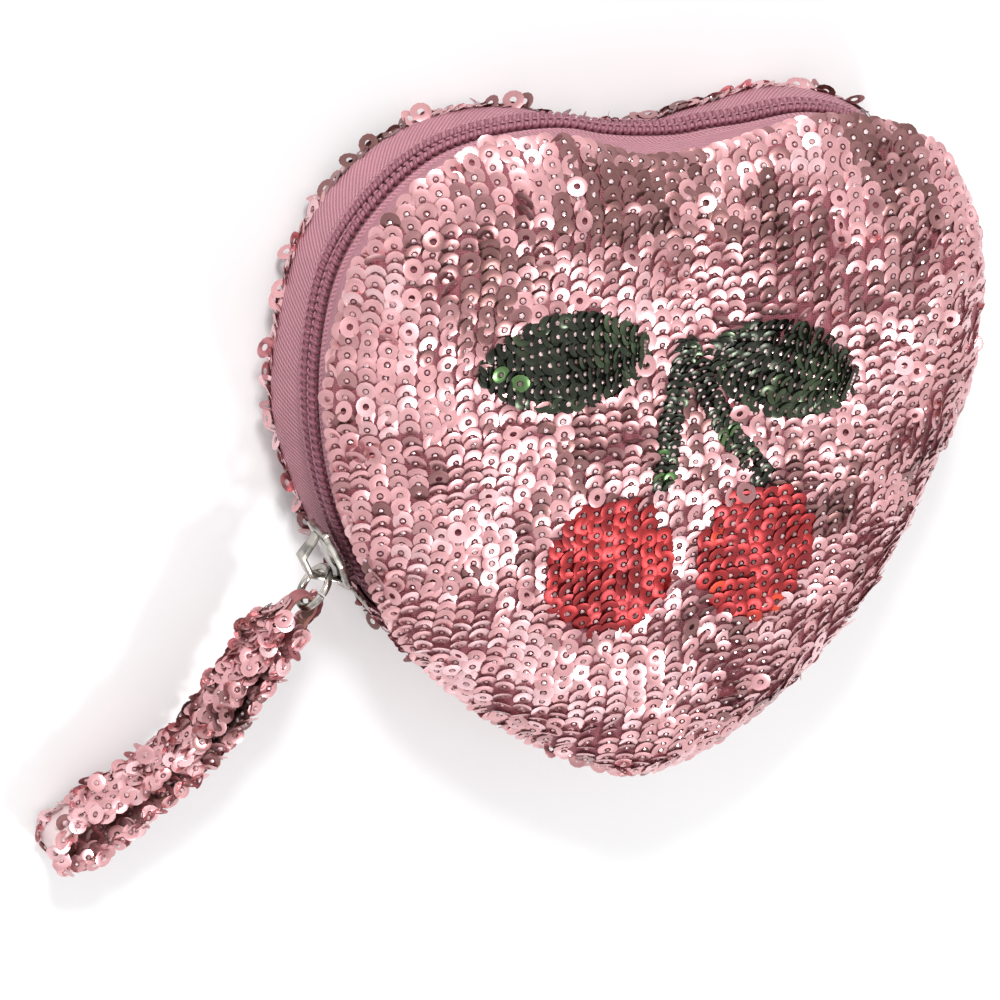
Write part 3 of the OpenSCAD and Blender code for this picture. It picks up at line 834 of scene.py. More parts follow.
def wadding_finish(scene):
    return plain_finish("wadding", scene.purse_cloth.wadding, 0.9, scale=700.0, depth=0.4 * MM)


def lining_finish(scene):
    return knit_finish("lining", scene.purse_cloth.lining, 0.5 * MM, cloth_place, roughness=0.5)


def thread_finish(scene):
    return plain_finish("zip_thread", scene.purse_zip.thread, 0.6, spread=0.4, scale=1500.0)


def pink_foil(scene):
    s = scene.purse_sequins
    # From brownish mauve to pale pink: partly the sequins' own spread, partly painted reflection.
    return foil_finish(
        "pink_sequins", (0.0, srgb(124, 88, 86)), (0.25, s.mauve), (0.45, s.pink), (0.8, s.pink),
        (1.0, s.pale))


# Knots run from dark to pale: partly a random spread, partly painted glints at the pale end.
def knot_finish():
    return foil_finish(
        "hole_knots", (0.0, srgb(104, 72, 74)), (0.4, srgb(160, 120, 122)), (0.7, srgb(204, 166, 170)),
        (1.0, srgb(232, 206, 208)), roughness=0.24, metallic=0.65)


def motif_knots(name, dark, middle, pale):
    """Knots in the motif's sequins, duller than the pink ones; their palest shades are painted glints."""
    return foil_finish(
        name, (0.0, srgb(*dark)), (0.65, srgb(*middle)), (1.0, srgb(*pale)), roughness=0.24, metallic=0.7)


# Geometry Nodes


class GeometryTree:
    """A Geometry Nodes tree under construction, with named inputs and their first values."""

    def __init__(self, name, **inputs):
        self.tree = bpy.data.node_groups.new(name, "GeometryNodeTree")
        self.nodes = Nodes(self.tree)
        face = self.tree.interface
        face.new_socket("Geometry", in_out="INPUT", socket_type="NodeSocketGeometry")
        for label, value in inputs.items():
            kind = {float: "Float", int: "Int"}.get(type(value), "Material")
            socket = face.new_socket(
                label.replace("_", " "), in_out="INPUT", socket_type="NodeSocket" + kind)
            if value is not None:
                socket.default_value = value
        face.new_socket("Geometry", in_out="OUTPUT", socket_type="NodeSocketGeometry")
        self.source = self.tree.nodes.new("NodeGroupInput")

    def input(self, label):
        return Sock(self.nodes, self.source.outputs[label])

    def attribute(self, name, kind="FLOAT_VECTOR"):
        return self.nodes.add("GeometryNodeInputNamedAttribute", {"Name": name}, data_type=kind)

    def scaled(self, vector, by):
        return self.nodes.add("ShaderNodeVectorMath", {0: vector, "Scale": by}, operation="SCALE")

    def combined(self, x, y, z=0.0):
        return self.nodes.add("ShaderNodeCombineXYZ", {"X": x, "Y": y, "Z": z})

    def random_size(self, least, most):
        """A size for each point between least and most, from the tree's seed."""
        return self.nodes.add(
            "FunctionNodeRandomValue", {2: least, 3: most, "Seed": self.input("Seed")},
            output=1, data_type="FLOAT")

    def on_points(self, shape, x, y, z):
        """A shape on each point, turned by the point's own turn and scaled by x, y and z."""
        return self.nodes.add("GeometryNodeInstanceOnPoints", {
            "Points": self.input("Geometry"), "Instance": shape, "Rotation": self.attribute("turn"),
            "Scale": self.combined(x, y, z)})

    def circle(self, sides, radius):
        return self.nodes.add(
            "GeometryNodeCurvePrimitiveCircle", {"Resolution": sides, "Radius": radius}, mode="RADIUS")

    def end(self, geometry):
        """Closes the tree: real meshes with their material."""
        real = self.nodes.add("GeometryNodeRealizeInstances", {0: geometry})
        done = self.nodes.add(
            "GeometryNodeSetMaterial", {"Geometry": real, "Material": self.input("Material")})
        out = self.tree.nodes.new("NodeGroupOutput")
        self.tree.links.new(done.socket, out.inputs[0])
        return self.tree


def once(make):
    """Makes a node tree when it is first asked for, and then finds it by its name."""

    def found():
        return bpy.data.node_groups.get(make.__name__) or make(make.__name__)

    return found


@once
def sequin_tree(name):
    """Cupped rings on points, each turned by the point's own turn and tilted at random."""
    build = GeometryTree(
        name, Diameter=3.75 * MM, Hole=0.29, Cup=0.3 * MM, Thickness=0.11 * MM, Tilt=0.15, Loose_Tilt=0.9,
        Size_Spread=0.07, Sides=12, Seed=7, Material=None)
    nodes, get = build.nodes, build.input
    rim = get("Diameter") * 0.5
    hole = rim * get("Hole")
    half = (rim - hole) * 0.5
    bow, skin = get("Cup") * 0.3, get("Thickness") * 0.5
    section = nodes.add("GeometryNodeCurvePrimitiveQuadrilateral", {
        "Point 1": build.combined(half * -1.0, 0.0),
        "Point 2": build.combined(half * 0.1, bow + skin),
        "Point 3": build.combined(half, get("Cup")),
        "Point 4": build.combined(half * 0.1, bow - skin)}, mode="POINTS")
    ring = nodes.add("GeometryNodeCurveToMesh", {
        "Curve": build.circle(get("Sides"), (rim + hole) * 0.5), "Profile Curve": section})
    ends = nodes.add("GeometryNodeInputMeshEdgeVertices")
    first, second = (end.math("MODULO", 4.0) for end in (ends, ends.at("Vertex Index 2")))
    rims = first.math("COMPARE", second, 0.5) * (1.0 - first.math("MODULO", 2.0))
    rounded_ring = nodes.add(
        "GeometryNodeSetShadeSmooth", {0: ring, "Shade Smooth": True}, domain="FACE")
    shaped = nodes.add(
        "GeometryNodeSetShadeSmooth", {0: rounded_ring, "Selection": rims, "Shade Smooth": False},
        domain="EDGE")
    spread = get("Size Spread")
    size = build.random_size(1.0 - spread, spread + 1.0)
    placed = build.on_points(shaped, size, size, size)
    shift = nodes.add(
        "FunctionNodeRandomValue",
        {0: (-1.0, -1.0, -1.0), 1: (1.0, 1.0, 1.0), "Seed": get("Seed") + 1}, data_type="FLOAT_VECTOR")
    limit = get("Tilt") + get("Loose Tilt") * build.attribute("loose", "FLOAT")
    return build.end(nodes.add("GeometryNodeRotateInstances", {
        "Instances": placed, "Rotation": build.scaled(shift, limit), "Local Space": True}))


@once
def bead_tree(name):
    """Small faceted knots on points, in the holes of the sequins."""
    build = GeometryTree(name, Radius=0.46 * MM, Height=0.6, Spread=0.25, Seed=3, Material=None)
    spread = build.input("Spread")
    ball = build.nodes.add(
        "GeometryNodeMeshIcoSphere", {"Radius": build.input("Radius"), "Subdivisions": 1})
    size = build.random_size(1.0 - spread, spread + 1.0)
    return build.end(build.on_points(ball, size, size, size * build.input("Height")))


@once
def coil_tree(name):
    """A filament wound round a path whose points carry their outward direction."""
    build = GeometryTree(
        name, Pitch=1.5 * MM, Half_Width=0.9 * MM, Half_Height=0.6 * MM, Filament=0.36 * MM, Steps=10,
        Sides=6, Phase=0.0, Material=None)
    nodes, get = build.nodes, build.input
    curve = nodes.add("GeometryNodeMeshToCurve", {"Mesh": get("Geometry")})
    fine = nodes.add(
        "GeometryNodeResampleCurve", {"Curve": curve, "Length": get("Pitch") / get("Steps")}, mode="LENGTH")
    along = nodes.add("GeometryNodeSplineParameter", output="Length")
    phase = along / get("Pitch") * (2 * math.pi) + get("Phase")
    lift = build.scaled(build.attribute("out"), phase.math("SINE") * get("Half Height"))
    across = build.combined(0.0, 0.0, phase.math("COSINE") * get("Half Width"))
    offset = nodes.add("ShaderNodeVectorMath", {0: lift, 1: across}, operation="ADD")
    wound = nodes.add("GeometryNodeSetPosition", {"Geometry": fine, "Offset": offset})
    return build.end(nodes.add("GeometryNodeCurveToMesh", {
        "Curve": wound, "Profile Curve": build.circle(get("Sides"), get("Filament")), "Fill Caps": True}))


@once
def stitch_tree(name):
    """Short rounded stitches on points, each turned by the point's own turn."""
    build = GeometryTree(name, Length=1.2 * MM, Width=0.3 * MM, Seed=5, Material=None)
    ball = build.nodes.add("GeometryNodeMeshUVSphere", {"Segments": 8, "Rings": 5, "Radius": 0.5})
    bead = build.nodes.add("GeometryNodeSetShadeSmooth", {0: ball, "Shade Smooth": True})
    width, fray = build.input("Width"), build.random_size(0.85, 1.1)
    return build.end(build.on_points(bead, width, build.input("Length") * fray, width))


def grow(name, tree, base, **inputs):
    """Runs a tree on a base mesh and keeps the result as a plain mesh at the origin."""
    helper = scene_link(bpy.data.objects.new(name + "_base", base))
    modifier = helper.modifiers.new(tree.name, "NODES")
    modifier.node_group = tree
    labels = {i.name: i.identifier for i in tree.interface.items_tree if i.in_out == "INPUT"}
    for label, value in inputs.items():
        modifier[labels[label.replace("_", " ")]] = value
    mesh = evaluated(helper, keep_layers=True)
    mesh.name = name
    bpy.data.objects.remove(helper)
    bpy.data.meshes.remove(base)
    if not mesh.polygons:
        raise RuntimeError(name + " came out empty")
    return scene_link(bpy.data.objects.new(name, mesh))


def point_mesh(name, places, joined=False, **attributes):
    """Loose points, or the points of one line, with attributes: numbers, or triples for vectors."""
    mesh = bpy.data.meshes.new(name)
    edges = [(i, i + 1) for i in range(len(places) - 1)] if joined else []
    mesh.from_pydata([tuple(map(float, p)) for p in places], edges, [])
    for label, values in attributes.items():
        values = np.asarray(values, np.float32)
        kind, field = ("FLOAT", "value") if values.ndim == 1 else ("FLOAT_VECTOR", "vector")
        mesh.attributes.new(label, kind, "POINT").data.foreach_set(field, values.ravel())
    return mesh


def turn_to(normal, along):
    """Euler turn that sends Z to normal and Y as near along as it can."""
    z = Vector(normal).normalized()
    x = Vector(along).cross(z).normalized()
    return Matrix((x, z.cross(x), z)).transposed().to_euler()


# Sequin places


# Painted light and shade: where a sequin cloth is painted paler as a whole, as painted reflection, or darker,
# as painted shade: X, Y, reach in mm and change of shade.
PAINTED_LIGHT_ZONES = [
    (-34, 46, 10, -0.35), (-17, 51, 9, -0.3), (4, 46, 10, -0.3), (24, 40, 8, -0.1), (46, 44, 11, -0.1),
    (-46, 50, 9, -0.2), (-37, 33, 8, -0.25), (-10, 8, 9, -0.2), (42, -20, 10, 0.3), (-14, -50, 9, 0.3),
    (37, -9, 7, -0.1), (-60, 26, 13, 0.4), (-58, 40, 9, 0.15), (-49, -14, 11, 0.3), (-6, -44, 12, 0.3),
    (50, -2, 9, 0.25), (27, 56, 5, 0.4), (8, 7, 6, 0.2), (-24, -38, 11, 0.25), (35, 37, 6, 0.25),
    (-34, 4, 7, 0.2), (-55, 0, 9, 0.25), (-36, 57, 9, -0.3), (-8, 50, 8, -0.3), (20, 54, 8, -0.3),
    (30, 7, 8, -0.3), (-12, 4, 7, -0.25), (-38, -24, 12, 0.3), (-22, 46, 8, -0.2), (38, 52, 8, -0.2),
    (20, -38, 8, 0.25), (2, 55, 7, -0.2),
]
# How the shade drifts besides, partly a random spread and partly painted shade and painted reflection in
# patches: from a middle shade, by two noises with scales, a shift and a weight.
TONE_MIDDLE = 0.54
TONE_DRIFTS = [((48.0, 40.0, 48.0), 0.0, 0.58), ((190.0, 60.0, 60.0), 7.0, 0.45)]
# Ripples that tilt neighbouring sequins together: how fine and how strong they are.
RIPPLE_SCALE, RIPPLE_GAIN = 70.0, 1.6
# A sequin looser than this is turned too far for its knot to show.
KNOT_LIMIT = 0.5


class Patch:
    """Sequins to be made: place, facing, row direction, shade and looseness of each."""

    def __init__(self, scene, seed):
        self.s = scene.purse_sequins
        self.random = np.random.default_rng(seed)
        self.rows = []

    def put(self, place, normal, along, tone, loose=0.0, lean=None, lift=0.35 * MM, ripples=1.0):
        """Adds a sequin. along points down the row, away from the raised edge."""
        n, d = Vector(normal).normalized(), Vector(along)
        d = (d - n * d.dot(n)).normalized()
        a = self.s.lean if lean is None else lean
        ripple = noise.noise_vector(Vector(place) * RIPPLE_SCALE)
        ripple *= RIPPLE_GAIN * ripples * math.sin(self.s.ripple)
        facing = n * math.cos(a) + d * math.sin(a) + ripple
        self.rows.append((Vector(place) + n * lift, turn_to(facing, -d), tone, loose))

    def tone(self, place, spread=0.16):
        """A shade that drifts over the cloth, with painted shade and painted reflection in patches and zones,
        and that also differs from sequin to sequin.
        """
        x, y, z = place
        shade = TONE_MIDDLE
        for (a, b, c), shift, weight in TONE_DRIFTS:
            shade += weight * noise.noise(Vector((x * a, y * b, z * c + shift)))
        # Painted shade and painted reflection in set zones.
        shade += sum(change * hill(x / MM, y / MM, *zone) for *zone, change in PAINTED_LIGHT_ZONES)
        return float(np.clip(shade + self.random.normal() * spread, 0, 1))

    def sew(self, name, foil, knot, body, *nodes, slot="pink_sequin_cloth", other=None, diameter=None,
            tilt=None):
        """Makes the sequins one piece and the knots in their holes another, and rides both on a body."""
        s = self.s
        places, turns, tones, loose = zip(*self.rows)
        base = point_mesh(name, places, turn=turns, tone=tones, loose=loose)
        rings = grow(
            name, sequin_tree(), base, Diameter=diameter or s.diameter, Hole=s.hole, Cup=s.cup,
            Thickness=s.foil_t, Tilt=tilt or s.tilt, Loose_Tilt=s.loose_tilt, Sides=12, Seed=s.seed,
            Material=foil)
        held = [i for i, free in enumerate(loose) if free < KNOT_LIMIT]
        # Each knot is painted paler the darker its sequin is, with a random spread: painted glints in the
        # holes of dark sequins.
        base = point_mesh(
            name + "_knots", [places[i] for i in held], turn=[turns[i] for i in held],
            tone=[np.clip(0.85 - 0.5 * tones[i] + 0.35 * self.random.random(), 0, 1) for i in held])
        knots = grow(name + "_knots", bead_tree(), base, Seed=s.seed, Material=knot)
        piece(rings, body, *nodes, slot=slot, other=other)
        piece(knots, body, slot=slot, other=other)


def piece(obj, body, *nodes, slot=None, other=None):
    """Rides a finished piece on its body, or bakes its place into its mesh where other is given, and hides
    the frame parts that it replaces.
    """
    if other:
        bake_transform(obj)
    else:
        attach(obj, body)
    if nodes:
        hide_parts(*nodes)
    return obj


class PurseOperator:
    """What the purse's operators share."""

    bl_options = {"REGISTER", "UNDO"}


# Covers, wadding and linings

# Points of the outline lie this far apart, and the front and back have this many rings of points.
FACE_STEP, FRONT_RINGS, BACK_RINGS = 1.7 * MM, 28, 12
# A lining's flange: how far inside the outline it ends, and how far past the wadding's edge.
FLANGE_IN, FLANGE_DOWN = 1.5 * MM, 0.35 * MM
# The front's cloth simulation: its grid, its steps and the pressure that swells it.
PUFF_GRID, PUFF_STEPS, PUFF_PRESSURE = 4 * MM, 20, 4.0
# Its cloth: stiffness when pulled and when bent, and how much larger than its outline it is.
PUFF_STIFFNESS, PUFF_BENDING, PUFF_EXCESS = 12, 0.4, 0.035
# Its result is read from this many near points, and it fades out over this many rings at the seam.
PUFF_NEAR, PUFF_FADE = 6, 4


def puffed(grid, tip, limit):
    """Lets a padded face swell by a short cloth simulation. Returns the moved points."""
    rows, count = grid.shape[:2]
    points = np.concatenate([grid.reshape(-1, 3), [tip]])
    floor = points[:, 2].min() - PUFF_GRID
    foot = grid[0] * [1, 1, 0] + [0, 0, floor]
    pad = dome_sheet("pad_trial", grid, tip, foot[None], [tip[0], tip[1], floor])
    remesh = pad.modifiers.new("remesh", "REMESH")
    remesh.mode, remesh.voxel_size = "VOXEL", PUFF_GRID
    mesh = evaluated(pad)
    bpy.data.objects.remove(pad)
    trial = scene_link(bpy.data.objects.new("pad_cloth", mesh))
    before = np.array([v.co for v in mesh.vertices])
    held = trial.vertex_groups.new(name="held")
    seam = float(grid[0, :, 2].max())
    held.add([i for i, p in enumerate(before) if p[2] < seam + 0.5 * MM], 1.0, "REPLACE")
    cloth = trial.modifiers.new("cloth", "CLOTH")
    settings = cloth.settings
    settings.use_pressure, settings.uniform_pressure_force = True, PUFF_PRESSURE
    settings.effector_weights.gravity = 0
    settings.vertex_group_mass = held.name
    settings.tension_stiffness = settings.compression_stiffness = PUFF_STIFFNESS
    settings.bending_stiffness = PUFF_BENDING
    settings.shrink_min = -PUFF_EXCESS
    cloth.collision_settings.use_collision = False
    cloth.point_cache.frame_start, cloth.point_cache.frame_end = 1, PUFF_STEPS
    for step in range(1, PUFF_STEPS + 1):
        bpy.context.scene.frame_set(step)
    depsgraph = bpy.context.evaluated_depsgraph_get()
    after = np.array([v.co for v in trial.evaluated_get(depsgraph).data.vertices])
    bpy.context.scene.frame_set(1)
    bpy.data.objects.remove(trial)
    move = after - before
    far = np.linalg.norm(move, axis=1, keepdims=True)
    move = move * np.minimum(1, limit / np.maximum(far, 1e-9))
    found = np.zeros_like(points)
    for i, p in enumerate(points):
        near = ((before - p) ** 2).sum(1)
        pick = np.argpartition(near, PUFF_NEAR)[:PUFF_NEAR]
        weight = 1 / (near[pick] + (1 * MM) ** 2)
        found[i] = (move[pick] * weight[:, None]).sum(0) / weight.sum()
    found[:-1] *= np.repeat(smooth(np.arange(rows) / PUFF_FADE), count)[:, None]
    moved = points + found
    return moved[:-1].reshape(grid.shape), moved[-1]


def flanged(grid, edge, down):
    """A lining's rings with a flange out to the tape, its edge moved down past the wadding's."""
    shift = np.array([0, 0, down])
    return np.concatenate([[edge + shift], [grid[0] + shift], grid[1:]])


def padded_face(scene, side, dome, edge, nodes, other=None):
    """Makes a face from outside in: cover, wadding and lining. other is the body across the fold."""
    cloth = scene.purse_cloth
    layers = [
        ("cover", cloth.pile, cloth.cloth_t, base_cloth, "pink_sequin_cloth"),
        ("wadding", cloth.pad_in, cloth.pad_t, wadding_finish, "wadding"),
        ("lining_sheet", cloth.lining_in, cloth.lining_t, lining_finish, "lining"),
    ]
    made = [[*dome(inset), *dome(inset + thick)] for _, inset, thick, _, _ in layers]
    down = -1 if other else 1
    made[2][0] = flanged(made[2][0], edge, down * FLANGE_DOWN)
    made[2][2] = flanged(made[2][2], edge, down * (FLANGE_DOWN + cloth.lining_t))
    flats = [flat_map(*layer[:2]) for layer in made]
    if other:
        outer, tip = puffed(*made[0][:2], cloth.puff)
        moves = [outer - made[0][0], tip - made[0][1]] * 2
        made[:2] = [[part + move for part, move in zip(layer, moves)] for layer in made[:2]]
    for (name, _, _, finish, slot), layer, flat, stands_for in zip(layers, made, flats, nodes):
        sheet = dome_sheet(f"{side}_{name}", *layer, finish(scene), flat)
        piece(sheet, "back", *stands_for, slot=slot, other=other)
        slot == "wadding"


class PURSE_OT_front_cover(PurseOperator, bpy.types.Operator):
    """Makes the padded front: cover, wadding and lining."""

    bl_idname = "purse.front_cover"
    bl_label = "Front cover, wadding and lining"

    def execute(self, context):
        heart = Heart(context.scene)
        nodes = [
            ["front_panel", "front_panel_lower", "front_fold"],
            ["front_padding", "front_padding_lower"],
            ["front_lining", "front_lining_lower"],
        ]
        dome = partial(heart.front_dome, FACE_STEP, FRONT_RINGS)
        edge = heart.front_dome(FACE_STEP, 1, FLANGE_IN)[0][0]
        padded_face(context.scene, "front", dome, edge, nodes, other="front")
        return {"FINISHED"}


class PURSE_OT_back_cover(PurseOperator, bpy.types.Operator):
    """Makes the back: cover, wadding and lining."""

    bl_idname = "purse.back_cover"
    bl_label = "Back cover, wadding and lining"

    def execute(self, context):
        heart = Heart(context.scene)
        nodes = [["back_panel"], ["back_padding"], ["back_lining"]]
        dome = partial(heart.back_dome, FACE_STEP, BACK_RINGS)
        edge = heart.back_dome(FACE_STEP, 2, FLANGE_IN)[0][0]
        padded_face(context.scene, "back", dome, edge, nodes)
        return {"FINISHED"}


def section_uv(sections, at):
    """Lengths along and across a swept strip, as a uv pair for each point."""
    across = np.zeros(sections.shape[:2])
    across[:, 1:] = np.cumsum(np.linalg.norm(np.diff(sections, axis=1), axis=2), axis=1)
    along = np.broadcast_to(np.asarray(at)[:, None], across.shape)
    return np.stack([along, across], 2).reshape(-1, 2)


def strip(name, heart, path, profile, material):
    """A strip swept along a path on the outline. profile gives (offset, height) pairs at a point."""
    p, n, at = path
    rows = []
    for point, normal in zip(p, n):
        pairs = profile(heart.wall(point[1]), point)
        rows.append([[*(point + o * normal), heart.mid + z] for o, z in pairs])
    sections = np.array(rows)
    return sweep(name, sections, material, uv=section_uv(sections, at), crease=True)


class PURSE_OT_side_strip(PurseOperator, bpy.types.Operator):
    """Makes the lower side strip round the tip, and its lining."""

    bl_idname = "purse.side_strip"
    bl_label = "Lower side strip"

    def execute(self, context):
        heart, cloth = Heart(context.scene), context.scene.purse_cloth
        path = heart.path(1.5 * MM, heart.arcs(wall_only=True), tip_last=True)
        rows = [
            ("side_strip", cloth.pile, cloth.cloth_t, base_cloth, "lower_gusset", "pink_sequin_cloth"),
            ("side_strip_lining", cloth.pad_in, cloth.lining_t, lining_finish, "gusset_lining", "lining"),
        ]
        for name, inset, thick, finish, node, slot in rows:
            def profile(wall, _, inset=inset, thick=thick):
                top = wall - heart.s.seam_gap
                curve = [(-inset + heart.s.wall_swell * (1 - t * t), t * top)
                         for t in np.linspace(-1, 1, 9)]
                return curve + [(o - thick, z) for o, z in curve[::-1]]

            piece(strip(name, heart, path, profile, finish(context.scene)), "back", node, slot=slot)
        return {"FINISHED"}


# Zip


def tape_profile(sizes, heart, side):
    """Section of a tape from its seam to its edge under the coil, with its two woven cords."""
    z0 = sizes.chain_w / 2
    # Two woven cords beside the coil: their height, how far they stand out and their reach.
    cords = [(z0 + 0.7 * MM, 0.5 * MM, 0.36 * MM), (z0 + 1.8 * MM, 0.32 * MM, 0.3 * MM)]
    edge, allowance, seam_in = 0.3 * MM, 1 * MM, 0.2 * MM
    seam_shift = heart.front_shift if side > 0 else heart.back_shift

    def profile(wall, point):
        inset = heart.zip_inset(point, sizes.inset)
        seam_o = -seam_in + float(seam_shift(*point))
        top = wall - heart.s.seam_gap
        run = max(top - z0, 1 * MM)

        def plain(z):
            return seam_o - (inset + seam_o) * smooth((top - z) / run)

        heights = np.concatenate([
            np.linspace(top, z0 + 3 * MM, 6), np.linspace(z0 + 2.8 * MM, z0, 20),
            np.linspace(z0 - 0.5 * MM, edge, 4)])
        outer = [(seam_o - allowance, side * top)]
        for z in heights:
            o = plain(z)
            for place, rise, spread in cords:
                o += rise * math.exp(-(((z - place) / spread) ** 2))
            outer.append((o, side * z))
        inner = [(plain(z) - sizes.tape_t, side * z) for z in heights[::-3]]
        return outer + inner + [(seam_o - allowance, side * (top - 0.3 * MM))]

    return profile


class PURSE_OT_zip_tapes(PurseOperator, bpy.types.Operator):
    """Makes the two woven zip tapes."""

    bl_idname = "purse.zip_tapes"
    bl_label = "Zip tapes"

    def execute(self, context):
        heart, sizes = Heart(context.scene), context.scene.purse_zip
        path = heart.path(1 * MM, heart.arcs(zip_only=True))
        rows = [
            ("back_tape", -1, ["back_zip_tape"], None),
            ("front_tape", 1, ["front_zip_tape", "front_zip_tape_ends"], "front"),
        ]
        for name, side, nodes, other in rows:
            tape = strip(name, heart, path, tape_profile(sizes, heart, side), tape_finish(sizes.tape))
            piece(tape, "back", *nodes, slot="zip_tape", other=other)
        return {"FINISHED"}


class PURSE_OT_zip_coils(PurseOperator, bpy.types.Operator):
    """Winds the two coil rows and sews them to their tapes."""

    bl_idname = "purse.zip_coils"
    bl_label = "Zip coils and their stitches"

    def execute(self, context):
        heart, sizes = Heart(context.scene), context.scene.purse_zip
        p, n, at = heart.path(1 * MM, heart.arcs(zip_only=True))
        row_in, row_out = sizes.row_gap / 2, sizes.chain_w / 2
        middle = (row_in + row_out) / 2
        reach = (row_out - row_in) / 2 - sizes.wire_r
        rise = sizes.coil_h / 2 - sizes.wire_r
        base_o = sizes.coil_h / 2 - np.array([heart.zip_inset(point, sizes.inset) for point in p])
        coil = plain_finish("zip_coil", sizes.coil, 0.34, spread=0.35, scale=500.0)
        thread = thread_finish(context.scene)
        out = np.column_stack([n, np.zeros(len(n))])
        core = [(reach * 0.75 * math.cos(a), rise * 0.8 * math.sin(a))
                for a in np.linspace(0, 2 * math.pi, 11)[:-1]]
        rows = [
            ("back", -1, ["back_coil"], None, 0.0),
            ("front", 1, ["front_coil", "front_coil_ends"], "front", math.pi),
        ]
        for name, side, nodes, other, phase in rows:
            centre = np.column_stack([p + base_o[:, None] * n, np.full(len(p), heart.mid + side * middle)])
            row = grow(
                name + "_coil_row", coil_tree(), point_mesh("coil_line", centre, joined=True, out=out),
                Pitch=sizes.coil_pitch, Half_Width=reach + 0.1 * MM, Half_Height=rise,
                Filament=sizes.wire_r, Phase=phase, Material=coil)
            smoothed(row.data)
            piece(row, "back", *nodes, slot="zip_coil", other=other)
            cord = sweep(name + "_coil_cord", np.array([
                [c + way * o + [0, 0, z] for z, o in core] for c, way in zip(centre, out)]), thread)
            piece(cord, "back", slot="zip_coil", other=other)
            places, turns = [], []
            for spot in np.arange(sizes.coil_pitch, at[-1] - sizes.coil_pitch, sizes.coil_pitch):
                x, y, nx, ny, o = (np.interp(spot, at, q) for q in (*p.T, *n.T, base_o))
                o += rise + 0.75 * sizes.wire_r
                places.append((x + o * nx, y + o * ny, heart.mid + side * middle))
                turns.append(turn_to((nx, ny, 0), (-ny, nx, 0)))
            seam = grow(
                name + "_coil_stitches", stitch_tree(), point_mesh("stitch_points", places, turn=turns),
                Length=1.25 * MM, Width=0.34 * MM, Material=thread)
            piece(seam, "back", slot="thread", other=other)
        return {"FINISHED"}


# Slider, ring and stops


def copied(node, name):
    """A merged copy of a frame node's mesh, free to be finished."""
    mesh = frame["nodes"][node].data.copy()
    mesh.name = name
    with edited(mesh) as build:
        bmesh.ops.remove_doubles(build, verts=build.verts, dist=1e-6)
        bmesh.ops.dissolve_limit(build, angle_limit=math.radians(1), verts=build.verts, edges=build.edges)
    for layer in ("sharp_edge", "custom_normal"):
        if layer in mesh.attributes:
            mesh.attributes.remove(mesh.attributes[layer])
    mesh.materials.clear()
    return scene_link(bpy.data.objects.new(name, mesh))


def rounded(obj, width, segments, material):
    """Rounds the edges of a metal piece."""
    obj.data.materials.append(material)
    bevel = obj.modifiers.new("edges", "BEVEL")
    bevel.width, bevel.segments, bevel.limit_method = width, segments, "ANGLE"
    bevel.angle_limit, bevel.use_clamp_overlap = math.radians(28), True
    mesh = evaluated(obj)
    obj.modifiers.clear()
    obj.data = mesh
    smoothed(mesh)
    crease_edges(obj, METAL_CREASE)
    return obj


class PURSE_OT_slider(PurseOperator, bpy.types.Operator):
    """Makes the slider with its bridge, the ring and the zip's stops."""

    bl_idname = "purse.slider"
    bl_label = "Slider, ring and stops"

    def execute(self, context):
        metal = metal_finish(context.scene.purse_zip.metal)
        rows = [
            ("slider_body", "slider_plates", 0.22 * MM, 2),
            ("slider_bridge", "slider_loop", 0.28 * MM, 3),
        ]
        for node, name, round_r, steps in rows:
            plate = rounded(copied(node, name), round_r, steps, metal)
            piece(plate, "slider", node, slot="bright_metal")
        heart = Heart(context.scene)
        for node, name in (("closed_end_stops", "closed_end_crimps"), ("open_end_stop", "open_end_crimp")):
            stop = copied(node, name)
            for vertex in stop.data.vertices:
                vertex.co.xy = heart.settled(np.array([vertex.co.xy]))[0]
            piece(rounded(stop, 0.15 * MM, 2, metal), "back", node, slot="bright_metal")
        self.ring(context.scene, metal)
        return {"FINISHED"}

    def ring(self, scene, metal):
        """The ring: a bent wire whose ends nearly meet at its top."""
        sizes = scene.purse_strap
        to_ring, _ = pull_frames(scene)
        sections = []
        half_gap = 3
        for a in np.linspace(math.radians(90 + half_gap), math.radians(450 - half_gap), 60):
            spoke = Vector((math.cos(a), 0, math.sin(a)))
            round_wire = [spoke * math.cos(b) + Vector((0, math.sin(b), 0))
                          for b in np.linspace(0, 2 * math.pi, 14)[:-1]]
            sections.append([to_ring @ (spoke * sizes.ring_r + q * sizes.wire_r) for q in round_wire])
        ring = sweep("pull_ring", np.array(sections), metal, crease=True)
        piece(ring, "ring", "jump_ring", slot="bright_metal")


def pull_frames(scene):
    """Frames of the ring, from its centre to the strap, and of the strap, from the far wire."""
    sizes, shape = scene.purse_strap, scene.purse_shape
    seat = Vector(JOINTS["ring_swing"]["pos_m"])
    lean = shape.slider_turn + sizes.ring_lean
    ring = Matrix.Translation(seat) @ Matrix.Rotation(lean, 4, "Z") @ Matrix.Translation((sizes.ring_r, 0, 0))
    wire = Vector(JOINTS["strap_swing"]["pos_m"])
    strap = Matrix.Translation(wire) @ Matrix.Rotation(lean - sizes.strap_turn, 4, "Z")
    return ring, strap


# Pull strap


